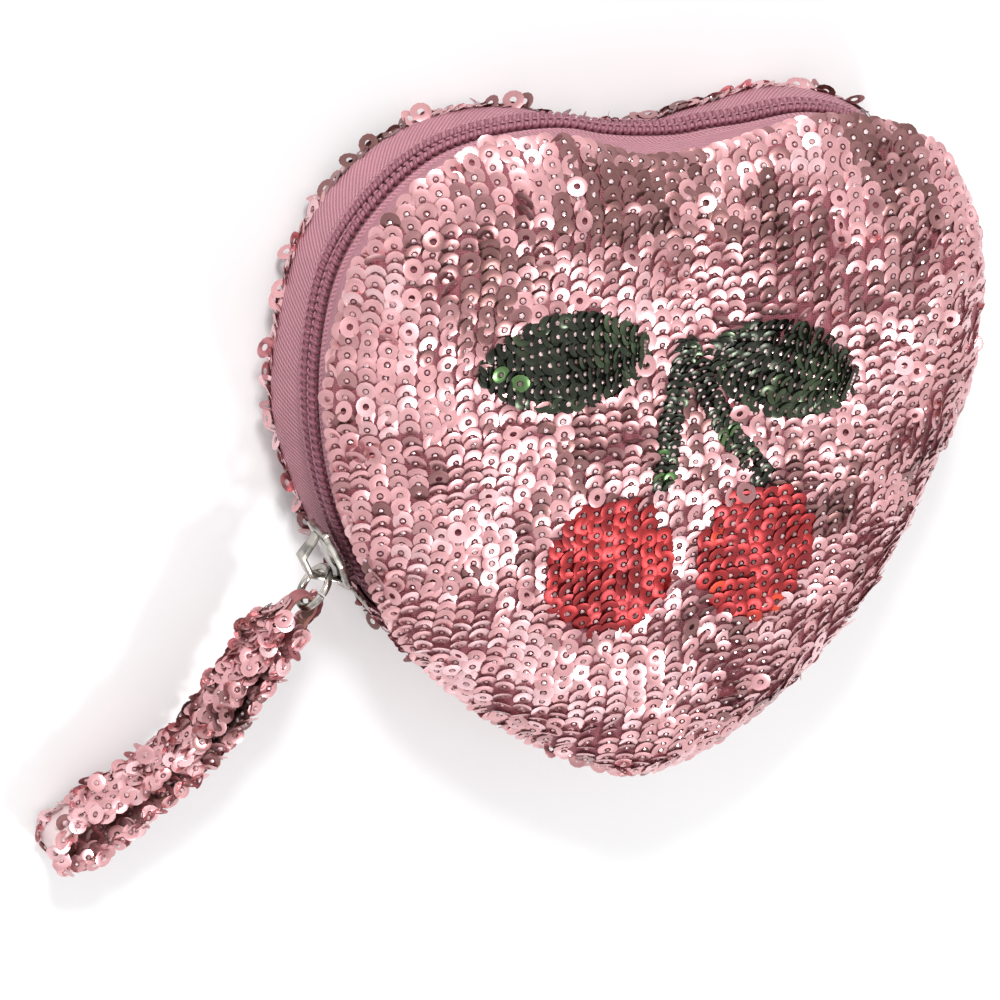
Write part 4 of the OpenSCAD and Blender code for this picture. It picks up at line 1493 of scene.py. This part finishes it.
class Strap:
    """The folded band: a closed loop seen from above, in the strap's own frame."""

    waist = 2.1 * MM

    def __init__(self, scene, runs=60, turns=12):
        self.s = s = scene.purse_strap
        shape = scene.purse_shape
        self.to_frame = pull_frames(scene)[1]
        self.loop_r = s.wire_r + s.loop_gap + s.neck_t / 2
        self.fold_r = (s.gap + s.layer_t) / 2
        self.fold_x = s.length - self.fold_r - s.layer_t / 2
        self.drop = shape.back_h + shape.gusset_d / 2 - s.width / 2
        self.line = self.centre(runs, turns)
        self.run = run_lengths(self.line)

    def widened(self, x):
        return float(smooth(x / self.s.neck_l))

    def half_w(self, x):
        return (self.s.neck_w + (self.s.width - self.s.neck_w) * self.widened(x)) / 2

    def layer(self, x):
        return self.s.neck_t + (self.s.layer_t - self.s.neck_t) * self.widened(x)

    def side(self, t):
        """Middle of one layer at share t of the run."""
        if t < 0.5:
            y = self.loop_r + (self.waist - self.loop_r) * float(smooth(2 * t))
        else:
            y = self.waist + (self.fold_r - self.waist) * float(smooth(2 * t - 1))
        return np.array([self.fold_x * t, y])

    def centre(self, runs, turns):
        """Middle line of the cloth, closed: round the ring, out, round the fold and back."""
        halves = [i / turns for i in range(turns + 1)]
        line = [self.loop_r * turn_dir(math.pi * (1.5 - half)) for half in halves]
        line += [self.side(i / runs) for i in range(1, runs)]
        line += [[self.fold_x, 0] + self.fold_r * turn_dir(math.pi * (0.5 - half)) for half in halves]
        line += [self.side(i / runs) * [1, -1] for i in range(runs - 1, 0, -1)]
        return np.array(line)

    def station(self, spot):
        """The middle line's point at a length along it, the way on and the way out."""
        p, q = (np.array([np.interp(at, self.run, self.line[:, k]) for k in (0, 1)])
                for at in (spot, spot + 0.4 * MM))
        way = unit(q - p)
        return p, way, left_of(way)

    def point(self, p, z):
        """A point of the strap's plan and height, bent and lowered with it, in the frame."""
        share_out = float(smooth(p[0] / self.s.length))
        bend = self.s.bow * math.sin(math.pi * share_out) + self.s.sway * share_out ** 2
        return self.to_frame @ Vector((p[0], p[1] + bend, z - self.drop * max(0.0, p[0]) / self.s.length))


class PURSE_OT_strap(PurseOperator, bpy.types.Operator):
    """Makes the folded pull strap and the stitches that close it."""

    bl_idname = "purse.strap"
    bl_label = "Pull strap"

    # Half of the band's section: place across its width, and thickness there.
    hem = [(-1, 0.5), (-0.96, 1), (-0.8, 1), (-0.7, 0.8), (-0.35, 0.75), (0, 0.75), (0.35, 0.75),
           (0.7, 0.8), (0.8, 1), (0.96, 1), (1, 0.5)]

    def execute(self, context):
        strap = Strap(context.scene)
        line = strap.line
        tangent = unit(np.roll(line, -1, axis=0) - np.roll(line, 1, axis=0))
        out = np.stack([-tangent[:, 1], tangent[:, 0]], 1)
        sections = []
        for p, n in zip(line, out):
            # The cloth alone, without the sequins at its edges and on its faces.
            half = strap.half_w(p[0]) - 0.4 * MM
            thick = strap.layer(p[0]) * 0.5
            hem = [(across * half, bulge * thick / 2) for across, bulge in self.hem]
            sections.append([strap.point(p + n * o, z) for z, o in hem]
                            + [strap.point(p - n * o, z) for z, o in hem[::-1]])
        sections = np.array(sections)
        band = sweep("strap_cloth", sections, strap_finish(context.scene), closed_path=True,
                     uv=section_uv(sections, strap.run))
        count = sections.shape[1]
        tone = np.where(np.arange(len(sections) * count) % count < count // 2, 0.5, 0.0)
        bare = np.repeat(line[:, 0] > strap.fold_x - 6 * MM, count)
        tone[bare & (tone > 0)] = 1.0
        band.data.attributes.new("tone", "FLOAT", "POINT").data.foreach_set("value", tone)
        piece(band, "strap", "strap_band", slot="pink_sequin_cloth")
        self.tack(context.scene, strap)
        return {"FINISHED"}

    def tack(self, scene, strap):
        """Five stitches through both layers, near the ring."""
        share_out, share_across = 2 / 12, 0.6
        x, y = strap.side(share_out)
        half = strap.half_w(x) * share_across
        places = [strap.point((x, 0), z) for z in np.linspace(-half, half, 5)]
        turn = strap.to_frame.to_3x3()
        turns = [turn_to(turn @ Vector((0, 0, 1)), turn @ Vector((0, 1, 0)))] * len(places)
        tack = grow(
            "strap_stitches", stitch_tree(), point_mesh("tack_points", places, turn=turns),
            Length=2 * (y - strap.layer(x) * 0.3), Width=0.6 * MM, Material=thread_finish(scene))
        piece(tack, "strap", "strap_tack", slot="pink_sequin_cloth")


# Sequins

# A second point this far down the row shows which way the cloth slopes there.
AHEAD = 0.5 * MM


def levels(count):
    """Middles of even rows across a width that runs from -1 to 1."""
    return [2 * (row + 0.5) / count - 1 for row in range(count)]


class Motif:
    """Outlines of the cherries, leaves and stems, seen from the front."""

    cherry_r, leaf_l, leaf_w, stem_w = 13 * MM, 33 * MM, 19 * MM, 4.2 * MM
    leaf_r = (leaf_l ** 2 + leaf_w ** 2) / (4 * leaf_w)
    # The sewn cherries hang longer than round: their width and height, and how far they are shifted.
    sag = [(0.98, 1.08), (0.94, 1.05)]
    shifts = ([-0.8 * MM, -1.2 * MM], [0.1 * MM, -0.3 * MM])

    def __init__(self, scene):
        top = np.array([0.004, 0.2]) * scene.purse_shape.heart_w
        cherries = [top + self.cherry_r * np.array(c) for c in ((-1.04, -3.03), (1.13, -3.22))]
        self.cherries = [c + shift for c, shift in zip(cherries, self.shifts)]
        self.leaves = [(top + self.leaf_l * np.array(place), math.radians(turn)) for place, turn in (
            ((-0.685, 0.0), 1), ((0.598, -0.209), -20))]
        self.stems = [[top + np.array(shift) * MM for shift in line] for line in (
            ((0, 0), (-3, -14), (-4.3, -26.5)), ((0, 0), (3.5, -8), (9, -18), (16.5, -28)))]

    def stem_parts(self):
        """The straight parts of both stems: start and end."""
        return [ends for line in self.stems for ends in zip(line, line[1:])]

    def in_cherry(self, p, grow):
        return any(math.hypot((p - c)[0] / wide, (p - c)[1] / tall) < self.cherry_r + grow
                   for c, (wide, tall) in zip(self.cherries, self.sag))

    def in_leaf(self, p, grow):
        for centre, turn in self.leaves:
            x, y = (p - centre) @ turn_dir(turn), (p - centre) @ turn_dir(turn + math.pi / 2)
            edge = math.sqrt(max((self.leaf_r + grow) ** 2 - x * x, 0))
            if abs(y) + self.leaf_r - self.leaf_w / 2 < edge:
                return True
        return False

    def near_stem(self, p, reach):
        for a, b in self.stem_parts():
            t = np.clip((p - a) @ (b - a) / ((b - a) @ (b - a)), 0, 1)
            if np.linalg.norm(p - a - t * (b - a)) < reach:
                return True
        return False

    def covers(self, p, grow):
        return self.in_cherry(p, grow) or self.in_leaf(p, grow) or self.near_stem(p, self.stem_w / 2 + grow)


def cloth_rows(laid, sizes, seed, pitch=None):
    """Rows of places on a laid cloth, each with its normal and the way down the row."""
    # Half of the flat layout that the rows run over, and how far from the cloth's edge they stay.
    half_span, margin = 92 * MM, 1.2 * MM
    random = np.random.default_rng(seed)
    pitch = pitch or sizes.pitch
    rows = []
    for u in np.arange(-half_span, half_span, sizes.row_gap):
        v = half_span - random.random() * pitch
        while v > -half_span:
            drift = noise.noise_vector(Vector((u * 28, v * 34, seed)))
            fine = noise.noise_vector(Vector((u * 90, v * 110, seed + 9)))
            x, y = u + sizes.wave * (1.6 * drift.x + 0.5 * fine.x), v + sizes.wave * 0.6 * drift.y
            here, there = laid.at_flat(x, y), laid.at_flat(x, y - AHEAD)
            reach = 1 + margin / max(math.hypot(x, y), 1e-6)
            if here and there and laid.at_flat(x * reach, y * reach):
                rows.append((*here, there[0] - here[0]))
            v -= pitch * (1 + 0.14 * random.standard_normal())
    return rows


class PURSE_OT_front_sequins(PurseOperator, bpy.types.Operator):
    """Sews the pink sequins and the cherry motif on the front."""

    bl_idname = "purse.front_sequins"
    bl_label = "Front sequins"

    # Where the front's sequins are ruffled: X, Y and reach in mm.
    ruffles = [(-38, 50, 14), (-58, 30, 14), (44, 46, 14), (-50, -10, 14)]
    # Leaf sequins that lie flat on top and catch the light, painted the palest green as a painted highlight:
    # X and Y in mm.
    bright = {"leaf_left": [(-35.0, 25.4), (-31.6, 23.4)]}
    # How dark or pale the two cherries are.
    cherry_shades = (0.66, 1.06)

    def execute(self, context):
        scene = context.scene
        motif = Motif(scene)
        laid = Laid(bpy.data.objects["front_cover"])
        pink = Patch(scene, 11)
        for place, normal, along in cloth_rows(laid, scene.purse_sequins, 1):
            if motif.covers(np.array(place.xy), -0.8 * MM) and normal.z > 0.3:
                continue
            ruffled = sum(hill(place.x / MM, place.y / MM, *spot) for spot in self.ruffles)
            loose = float(pink.random.random() < 0.03 + 0.09 * ruffled) * 0.55
            normal = normal + Vector((0, 0, 0.7 * float(smooth((0.85 - normal.z) / 0.5))))
            pink.put(place, normal, along, pink.tone(place), loose, lift=(0.35 + 1.2 * loose) * MM)
        self.edge_row(pink, scene)
        pink.sew("front_sequins", pink_foil(scene), knot_finish(), "back", other="front")
        self.cherries(scene, motif, laid)
        self.leaves_and_stems(scene, motif, laid)
        return {"FINISHED"}

    def edge_row(self, patch, scene):
        """A row along the seam, some of it loose."""
        heart, pile = Heart(scene), scene.purse_cloth.pile
        p, n, _ = heart.path(scene.purse_sequins.pitch, heart.arcs(), tip_last=True)
        for point, normal in zip(p, n):
            place = heart.ring(point[None], normal[None], -pile, math.radians(9), heart.top - pile)[0]
            loose = float(patch.random.random() < 0.12)
            facing = Vector((*normal, 0.9 + 1.2 * patch.random.random()))
            patch.put(place, facing, (*left_of(normal), 0), patch.tone(place), loose)

    def cherries(self, scene, motif, laid):
        s = scene.purse_sequins
        # Dark red to an orange top: partly the sequins' own spread, partly painted shade at the dark end and
        # a painted highlight at the orange top.
        foil = foil_finish(
            "red_sequins", (0.0, s.dark_red), (0.3, s.dark_red), (0.55, s.red), (0.93, s.red),
            (1.0, srgb(222, 80, 58)), roughness=0.34, metallic=0.7)
        knot = motif_knots("cherry_knots", (62, 40, 42), (118, 84, 84), (214, 176, 176))
        nodes = ("cherry_left", "cherry_right")
        cherries = zip(motif.cherries, motif.sag, nodes, self.cherry_shades)
        for index, (centre, (wide, tall), node, shade) in enumerate(cherries):
            patch = Patch(scene, 21 + index)
            reach = motif.cherry_r * tall
            for x in np.arange(-motif.cherry_r, motif.cherry_r, 2.6 * MM):
                for y in np.arange(reach, -reach, -2.2 * MM):
                    stray = noise.noise_vector(Vector((x * 90, y * 90, index + 4)))
                    if math.hypot(x / wide, y / tall) > motif.cherry_r - 0.7 * MM:
                        continue
                    q = centre + [x + 1.1 * MM * stray.x, y + 0.8 * MM * stray.y]
                    found, after = laid.below(*q), laid.below(q[0], q[1] - AHEAD)
                    tone = patch.tone(found[0], 0.25) * shade
                    patch.put(*found, after[0] - found[0], min(tone, 1), lean=math.radians(8),
                              lift=0.65 * MM, ripples=0.7)
            patch.sew(node + "_sequins", foil, knot, "back", node, slot="red_sequins", other="front",
                      tilt=math.radians(10))

    def leaves_and_stems(self, scene, motif, laid):
        s = scene.purse_sequins
        # The palest green at the top of the ramp is a painted highlight.
        foil = foil_finish(
            "green_sequins", (0.0, srgb(42, 44, 38)), (0.5, s.dark_green), (0.97, s.green),
            (1.0, srgb(90, 122, 76)), roughness=0.24)
        knot = motif_knots("leaf_knots", (50, 44, 42), (128, 106, 102), (222, 196, 194))
        tip = motif.leaf_l / 2
        for index, ((centre, turn), node) in enumerate(zip(motif.leaves, ("leaf_left", "leaf_right"))):
            patch = Patch(scene, 31 + index)
            along, across = turn_dir(turn), turn_dir(turn + math.pi / 2)
            for j, level in enumerate(levels(7)):
                for x in np.arange(-tip + 1.2 * MM, tip - 1.0 * MM, 1.65 * MM):
                    half = math.sqrt(motif.leaf_r ** 2 - x * x) - motif.leaf_r + motif.leaf_w / 2
                    # Near the leaf's tips there is only room for every other row.
                    if half < 1.3 * MM + 2.0 * MM * abs(level) and j % 2:
                        continue
                    found = laid.below(*(centre + x * along + level * (half - 0.6 * MM) * across))
                    # Leaf sequins stay below the painted highlight's green.
                    tone = min(patch.tone(found[0], 0.25), 0.97)
                    patch.put(*found, Vector((*along, 0)), tone, lean=math.radians(15), lift=0.6 * MM,
                              ripples=1.2)
            # The flat sequins get the painted highlight's green.
            for x, y in self.bright.get(node, []):
                found = laid.below(x * MM, y * MM)
                patch.put(*found, (0, -1, 0), 1.0, lean=0.0, lift=1.2 * MM, ripples=0)
            patch.sew(node + "_sequins", foil, knot, "back", node, slot="green_sequins", other="front",
                      diameter=3.4 * MM, tilt=math.radians(14))
        patch = Patch(scene, 41)
        for a, b in motif.stem_parts():
            way = unit(b - a)
            for t in np.arange(0, np.linalg.norm(b - a), 1.5 * MM):
                for shift in (-1.05 * MM, 1.05 * MM):
                    found = laid.below(*(a + t * way + shift * left_of(way)))
                    patch.put(*found, Vector((*way, 0)), patch.tone(found[0], 0.3),
                              lean=math.radians(20), lift=0.6 * MM, ripples=0.4)
        patch.sew("stem_sequins", foil, knot, "back", "stems", slot="green_sequins", other="front",
                  diameter=2.9 * MM)


class PURSE_OT_back_sequins(PurseOperator, bpy.types.Operator):
    """Sews the sequins on the back and on the lower side strip."""

    bl_idname = "purse.back_sequins"
    bl_label = "Back and side sequins"

    def execute(self, context):
        scene = context.scene
        sizes, heart, pile = scene.purse_sequins, Heart(scene), scene.purse_cloth.pile
        laid = Laid(bpy.data.objects["back_cover"])
        patch = Patch(scene, 51)
        for place, normal, along in cloth_rows(laid, sizes, 3, pitch=1.35 * sizes.pitch):
            flat = place.z < 3 * MM
            loose = -0.2 if flat else float(patch.random.random() < 0.03) * 0.7
            patch.put(place, normal, along, patch.tone(place), loose, lift=0.2 * MM,
                      lean=math.radians(7) if flat else None, ripples=0.15 if flat else 1.0)
        p, n, _ = heart.path(sizes.pitch, heart.arcs(), tip_last=True)
        for point, normal in zip(p, n):
            for turn, odds in ((8, 0.35), (30, 0.2)):
                turn = math.radians(turn)
                place = heart.ring(point[None], normal[None], -pile, turn, pile, front=False)[0]
                loose = float(patch.random.random() < odds)
                patch.put(place, (*normal, -0.2), (*left_of(normal), 0), patch.tone(place), loose,
                          lift=(0.4 + 1.2 * loose * patch.random.random()) * MM)
        patch.sew("back_sequins", pink_foil(scene), knot_finish(), "back")
        self.side_rows(scene, sizes, heart, pile)
        return {"FINISHED"}

    def side_rows(self, scene, sizes, heart, pile):
        """Short rows across the lower side strip."""
        side = Patch(scene, 61)
        p, n, _ = heart.path(sizes.pitch, heart.arcs(wall_only=True), tip_last=True)
        for point, normal in zip(p, n):
            wall = heart.wall(point[1]) - 1.2 * MM
            count = max(1, round(2 * wall / sizes.row_gap))
            for k in range(count):
                t = (2 * (k + 0.5 + 0.2 * side.random.standard_normal()) / count - 1)
                o = -pile + heart.s.wall_swell * (1 - t * t)
                place = Vector((*(point + o * normal), heart.mid + t * wall))
                side.put(place, (*normal, 0), (*left_of(normal), 0), side.tone(place),
                         float(side.random.random() < 0.08))
        side.sew("side_sequins", pink_foil(scene), knot_finish(), "back")


class PURSE_OT_strap_sequins(PurseOperator, bpy.types.Operator):
    """Sews the sequins on the pull strap."""

    bl_idname = "purse.strap_sequins"
    bl_label = "Strap sequins"

    # How far sequins stray from their rows, in mm.
    wander = 0.4
    # How high above the table those on the faces and those on the edges stay.
    face_clear, edge_clear = 2.1 * MM, 2.6 * MM
    # Where the rows may start near the ring, along the strap, on its right and on its left.
    first_right, first_left = 0.4 * MM, -2.0 * MM
    # Loose sequins: place in the strap's frame in mm, and shade.
    strays = [(58.6, -2.9, -9.1, 0.2), (39.5, -1.0, -6.4, 0.7), (49.2, -3.8, -8.6, 0.7),
              (35.4, 6.4, -2.0, 0.9), (54.1, 7.0, -6.4, 0.8)]

    def execute(self, context):
        scene = context.scene
        strap, patch = Strap(scene, 120, 16), Patch(scene, 71)
        self.edges(scene, strap, patch)
        self.rows(scene, strap, patch)
        for x, y, z, tone in self.strays:
            place = strap.to_frame @ (Vector((x, y, z)) * MM)
            patch.put(place, (-0.35, 0.37, 0.86), (0, -1, 0), tone, 0.0, lean=0.0, lift=1.0 * MM, ripples=0)
        patch.sew("strap_sequins", pink_foil(scene), knot_finish(), "strap", tilt=math.radians(32),
                  diameter=3.5 * MM)
        return {"FINISHED"}

    def rows(self, scene, strap, patch):
        """Four rows round the outside of the loop, bare at the fold and near the ring."""
        turn, random = strap.to_frame.to_3x3(), patch.random
        for row, level in enumerate(levels(4)):
            for at in np.arange(0, strap.run[-1], scene.purse_sequins.pitch * 0.8):
                p, way, out = strap.station(at + random.standard_normal() * self.wander * MM)
                half = strap.half_w(p[0])
                bare = p[0] > strap.fold_x - 4 * MM and -0.6 < level < 0.9 and p[1] < 0.8 * MM
                # The gathered neck has room for every other row only.
                if half < 3.4 * MM and row % 2 or bare:
                    continue
                z = level * (half - 1.0 * MM) + random.standard_normal() * self.wander * MM
                place = strap.point(p + out * (strap.layer(p[0]) * 0.24), z)
                loose = float(random.random() < (0.3 if abs(level) > 0.7 else 0.12))
                if place.z < self.face_clear or p[0] < (self.first_left if p[1] > 0 else self.first_right):
                    continue
                # Near the ring they are held close to the cloth.
                if p[0] < 4 * MM:
                    loose = -0.45
                    place -= turn @ Vector((*out, 0)) * (0.2 * MM)
                # The strap's sequins are painted paler, to make up for the shade that the strap lies in.
                patch.put(place, turn @ Vector((*out, 0.15 * level)), turn @ Vector((*way, 0)),
                          patch.tone(place) * 0.8 + 0.2, loose)

    def edges(self, scene, strap, patch):
        """Sequins over the cloth's edges, inside its mouth and bunched round the gathered neck."""
        turn, random = strap.to_frame.to_3x3(), patch.random
        for side in (-1, 1):
            for at in np.arange(0, strap.run[-1], scene.purse_sequins.pitch * 0.72):
                p, way, out = strap.station(at + random.standard_normal() * self.wander * MM)
                if p[0] < 3.6 * MM:
                    continue
                half, layer = strap.half_w(p[0]), strap.layer(p[0])

                def put(o, z, outwards, up, shade, lift, loose=None):
                    """One sequin o out of the middle line, which may hang loose where loose isn't given."""
                    place = strap.point(p + out * o, z)
                    tone = patch.tone(place) * shade
                    if loose is None:
                        loose = float(random.random() < 0.3)
                    facing = turn @ Vector((*(out * outwards), up))
                    patch.put(place, facing, turn @ Vector((*way, 0)), tone, loose, lift=lift * MM)

                spread = 0.45 * random.standard_normal()
                z = side * (half - 0.5 * MM)
                if strap.point(p + out * spread * MM, z).z < self.edge_clear:
                    continue
                put(spread * MM, z, 0.4 + spread, side, 1, 0.5)
                # Just inside the mouth, then in rows further down, painted darker there as painted shade.
                if side > 0 and 6 * MM < p[0] < strap.fold_x and random.random() < 0.7:
                    put(-layer * 0.3, half - 2.2 * MM, -1, 0.5, 0.5, 0.2, 0.2)
                if side > 0 and 4 * MM < p[0] < strap.fold_x + 1 * MM:
                    for depth in (1.0, 3.8, 6.6):
                        if p[0] > 20 * MM and random.random() < 0.35:
                            continue
                        put(-layer * 0.35, half - depth * MM, -1, 0.4, 0.6, 0.15, 0.1)
                # Bunched round the neck.
                if 5 * MM < p[0] < 14 * MM and random.random() < 0.7:
                    put(1.0 * MM, side * random.random() * half, 1, 0.5 * side, 1, 0.5, 0.6)


# Stage


def area_lamp(name, place, target, size, power):
    data = bpy.data.lights.new(name, "AREA")
    data.shape, data.size, data.energy = "DISK", size, power
    lamp = scene_link(bpy.data.objects.new(name, data))
    lamp.location = place
    lamp.rotation_euler = (Vector(target) - Vector(place)).to_track_quat("-Z", "Y").to_euler()


class PURSE_OT_stage(PurseOperator, bpy.types.Operator):
    """Makes the floor, the lamps, the world and the camera."""

    bl_idname = "purse.stage"
    bl_label = "Stage"

    def execute(self, context):
        scene = context.scene
        scene.view_settings.view_transform = "Standard"
        side = 3.0
        corners = [(-side, -side, 0), (side, -side, 0), (side, side, 0), (-side, side, 0)]
        floor = mesh_object("floor", corners, [(0, 1, 2, 3)], smooth_faces=False, closed=False,
                            material=table_finish())
        target = (0, 0, 0.02)
        area_lamp("key", (-0.2, 0.62, 0.56), target, size=0.17, power=4.9)
        area_lamp("flash", (0.25, -0.5, 0.75), target, size=0.15, power=3.0)
        self.world(scene)
        self.camera(scene)
        return {"FINISHED"}

    def world(self, scene):
        """Soft cards round the purse: patches from dim to bright in light, even grey in reflections."""
        scene.world = world = bpy.data.worlds.new("studio")
        world.use_nodes = True
        tree = world.node_tree
        tree.nodes.clear()
        nodes = Nodes(tree)
        where = nodes.add("ShaderNodeTexCoord", output="Generated")
        cards = ramp(
            nodes, noise_of(nodes, where, 3.6, 1.0), (0.37, (0.62, 0.58, 0.58, 1)),
            (0.45, (0.9, 0.87, 0.87, 1)), (0.53, (1.15, 1.12, 1.12, 1)), (0.64, (1.3, 1.3, 1.3, 1)),
            (0.68, (3.2, 3.2, 3.2, 1)))
        path = nodes.add("ShaderNodeLightPath", output="Is Camera Ray")
        lit = mixed(nodes, path.at("Is Glossy Ray"), (0.7, 0.7, 0.71, 1), cards)
        shown = mixed(nodes, path.math("MAXIMUM", path.at("Is Transmission Ray")), lit, (1, 1, 1, 1))
        back = nodes.add("ShaderNodeBackground", {"Color": shown, "Strength": 1.0})
        tree.links.new(back.socket, tree.nodes.new("ShaderNodeOutputWorld").inputs["Surface"])

    def camera(self, scene):
        """The photograph's view, in the picture's own pixels for the focal length."""
        picture, focal, sensor = 1000, 4070, 36.0
        azimuth, elevation, distance = math.radians(22.5), math.radians(21.5), 0.746
        target = Vector((-26.0 * MM, -7.6 * MM, 18.5 * MM))
        data = bpy.data.cameras.new("camera")
        data.sensor_width, data.lens = sensor, sensor * focal / picture
        data.clip_start, data.clip_end = 0.05, 20
        back = Vector((-math.sin(azimuth) * math.cos(elevation), math.sin(elevation),
                       math.cos(azimuth) * math.cos(elevation)))
        right = Vector((math.cos(azimuth), 0, math.sin(azimuth)))
        turn = Matrix((right, back.cross(right), back)).transposed()
        scene.camera = camera = scene_link(bpy.data.objects.new("camera", data))
        camera.matrix_world = Matrix.Translation(target + back * distance) @ turn.to_4x4()


OPERATORS = [
    PURSE_OT_stage, PURSE_OT_front_cover, PURSE_OT_back_cover, PURSE_OT_side_strip, PURSE_OT_zip_tapes,
    PURSE_OT_zip_coils, PURSE_OT_slider, PURSE_OT_strap, PURSE_OT_front_sequins, PURSE_OT_back_sequins,
    PURSE_OT_strap_sequins,
]


class PURSE_PT_pieces(bpy.types.Panel):
    """Lists the purse's pieces in the sidebar."""

    bl_idname = "PURSE_PT_pieces"
    bl_label = "Heart sequin purse"
    bl_space_type = "VIEW_3D"
    bl_region_type = "UI"
    bl_category = "Purse"

    def draw(self, context):
        for operator in OPERATORS:
            self.layout.operator(operator.bl_idname)


CLASSES = [*GROUPS.values(), *OPERATORS, PURSE_PT_pieces]


def register():
    for cls in CLASSES:
        bpy.utils.register_class(cls)
    for name, group in GROUPS.items():
        setattr(bpy.types.Scene, name, PointerProperty(type=group))


def unregister():
    for name in GROUPS:
        delattr(bpy.types.Scene, name)
    for cls in reversed(CLASSES):
        bpy.utils.unregister_class(cls)


def main():
    noise.seed_set(NOISE_SEED)
    register()
    for operator in OPERATORS:
        group, name = operator.bl_idname.split(".")
        getattr(getattr(bpy.ops, group), name)()


if __name__ == "__main__":
    main()
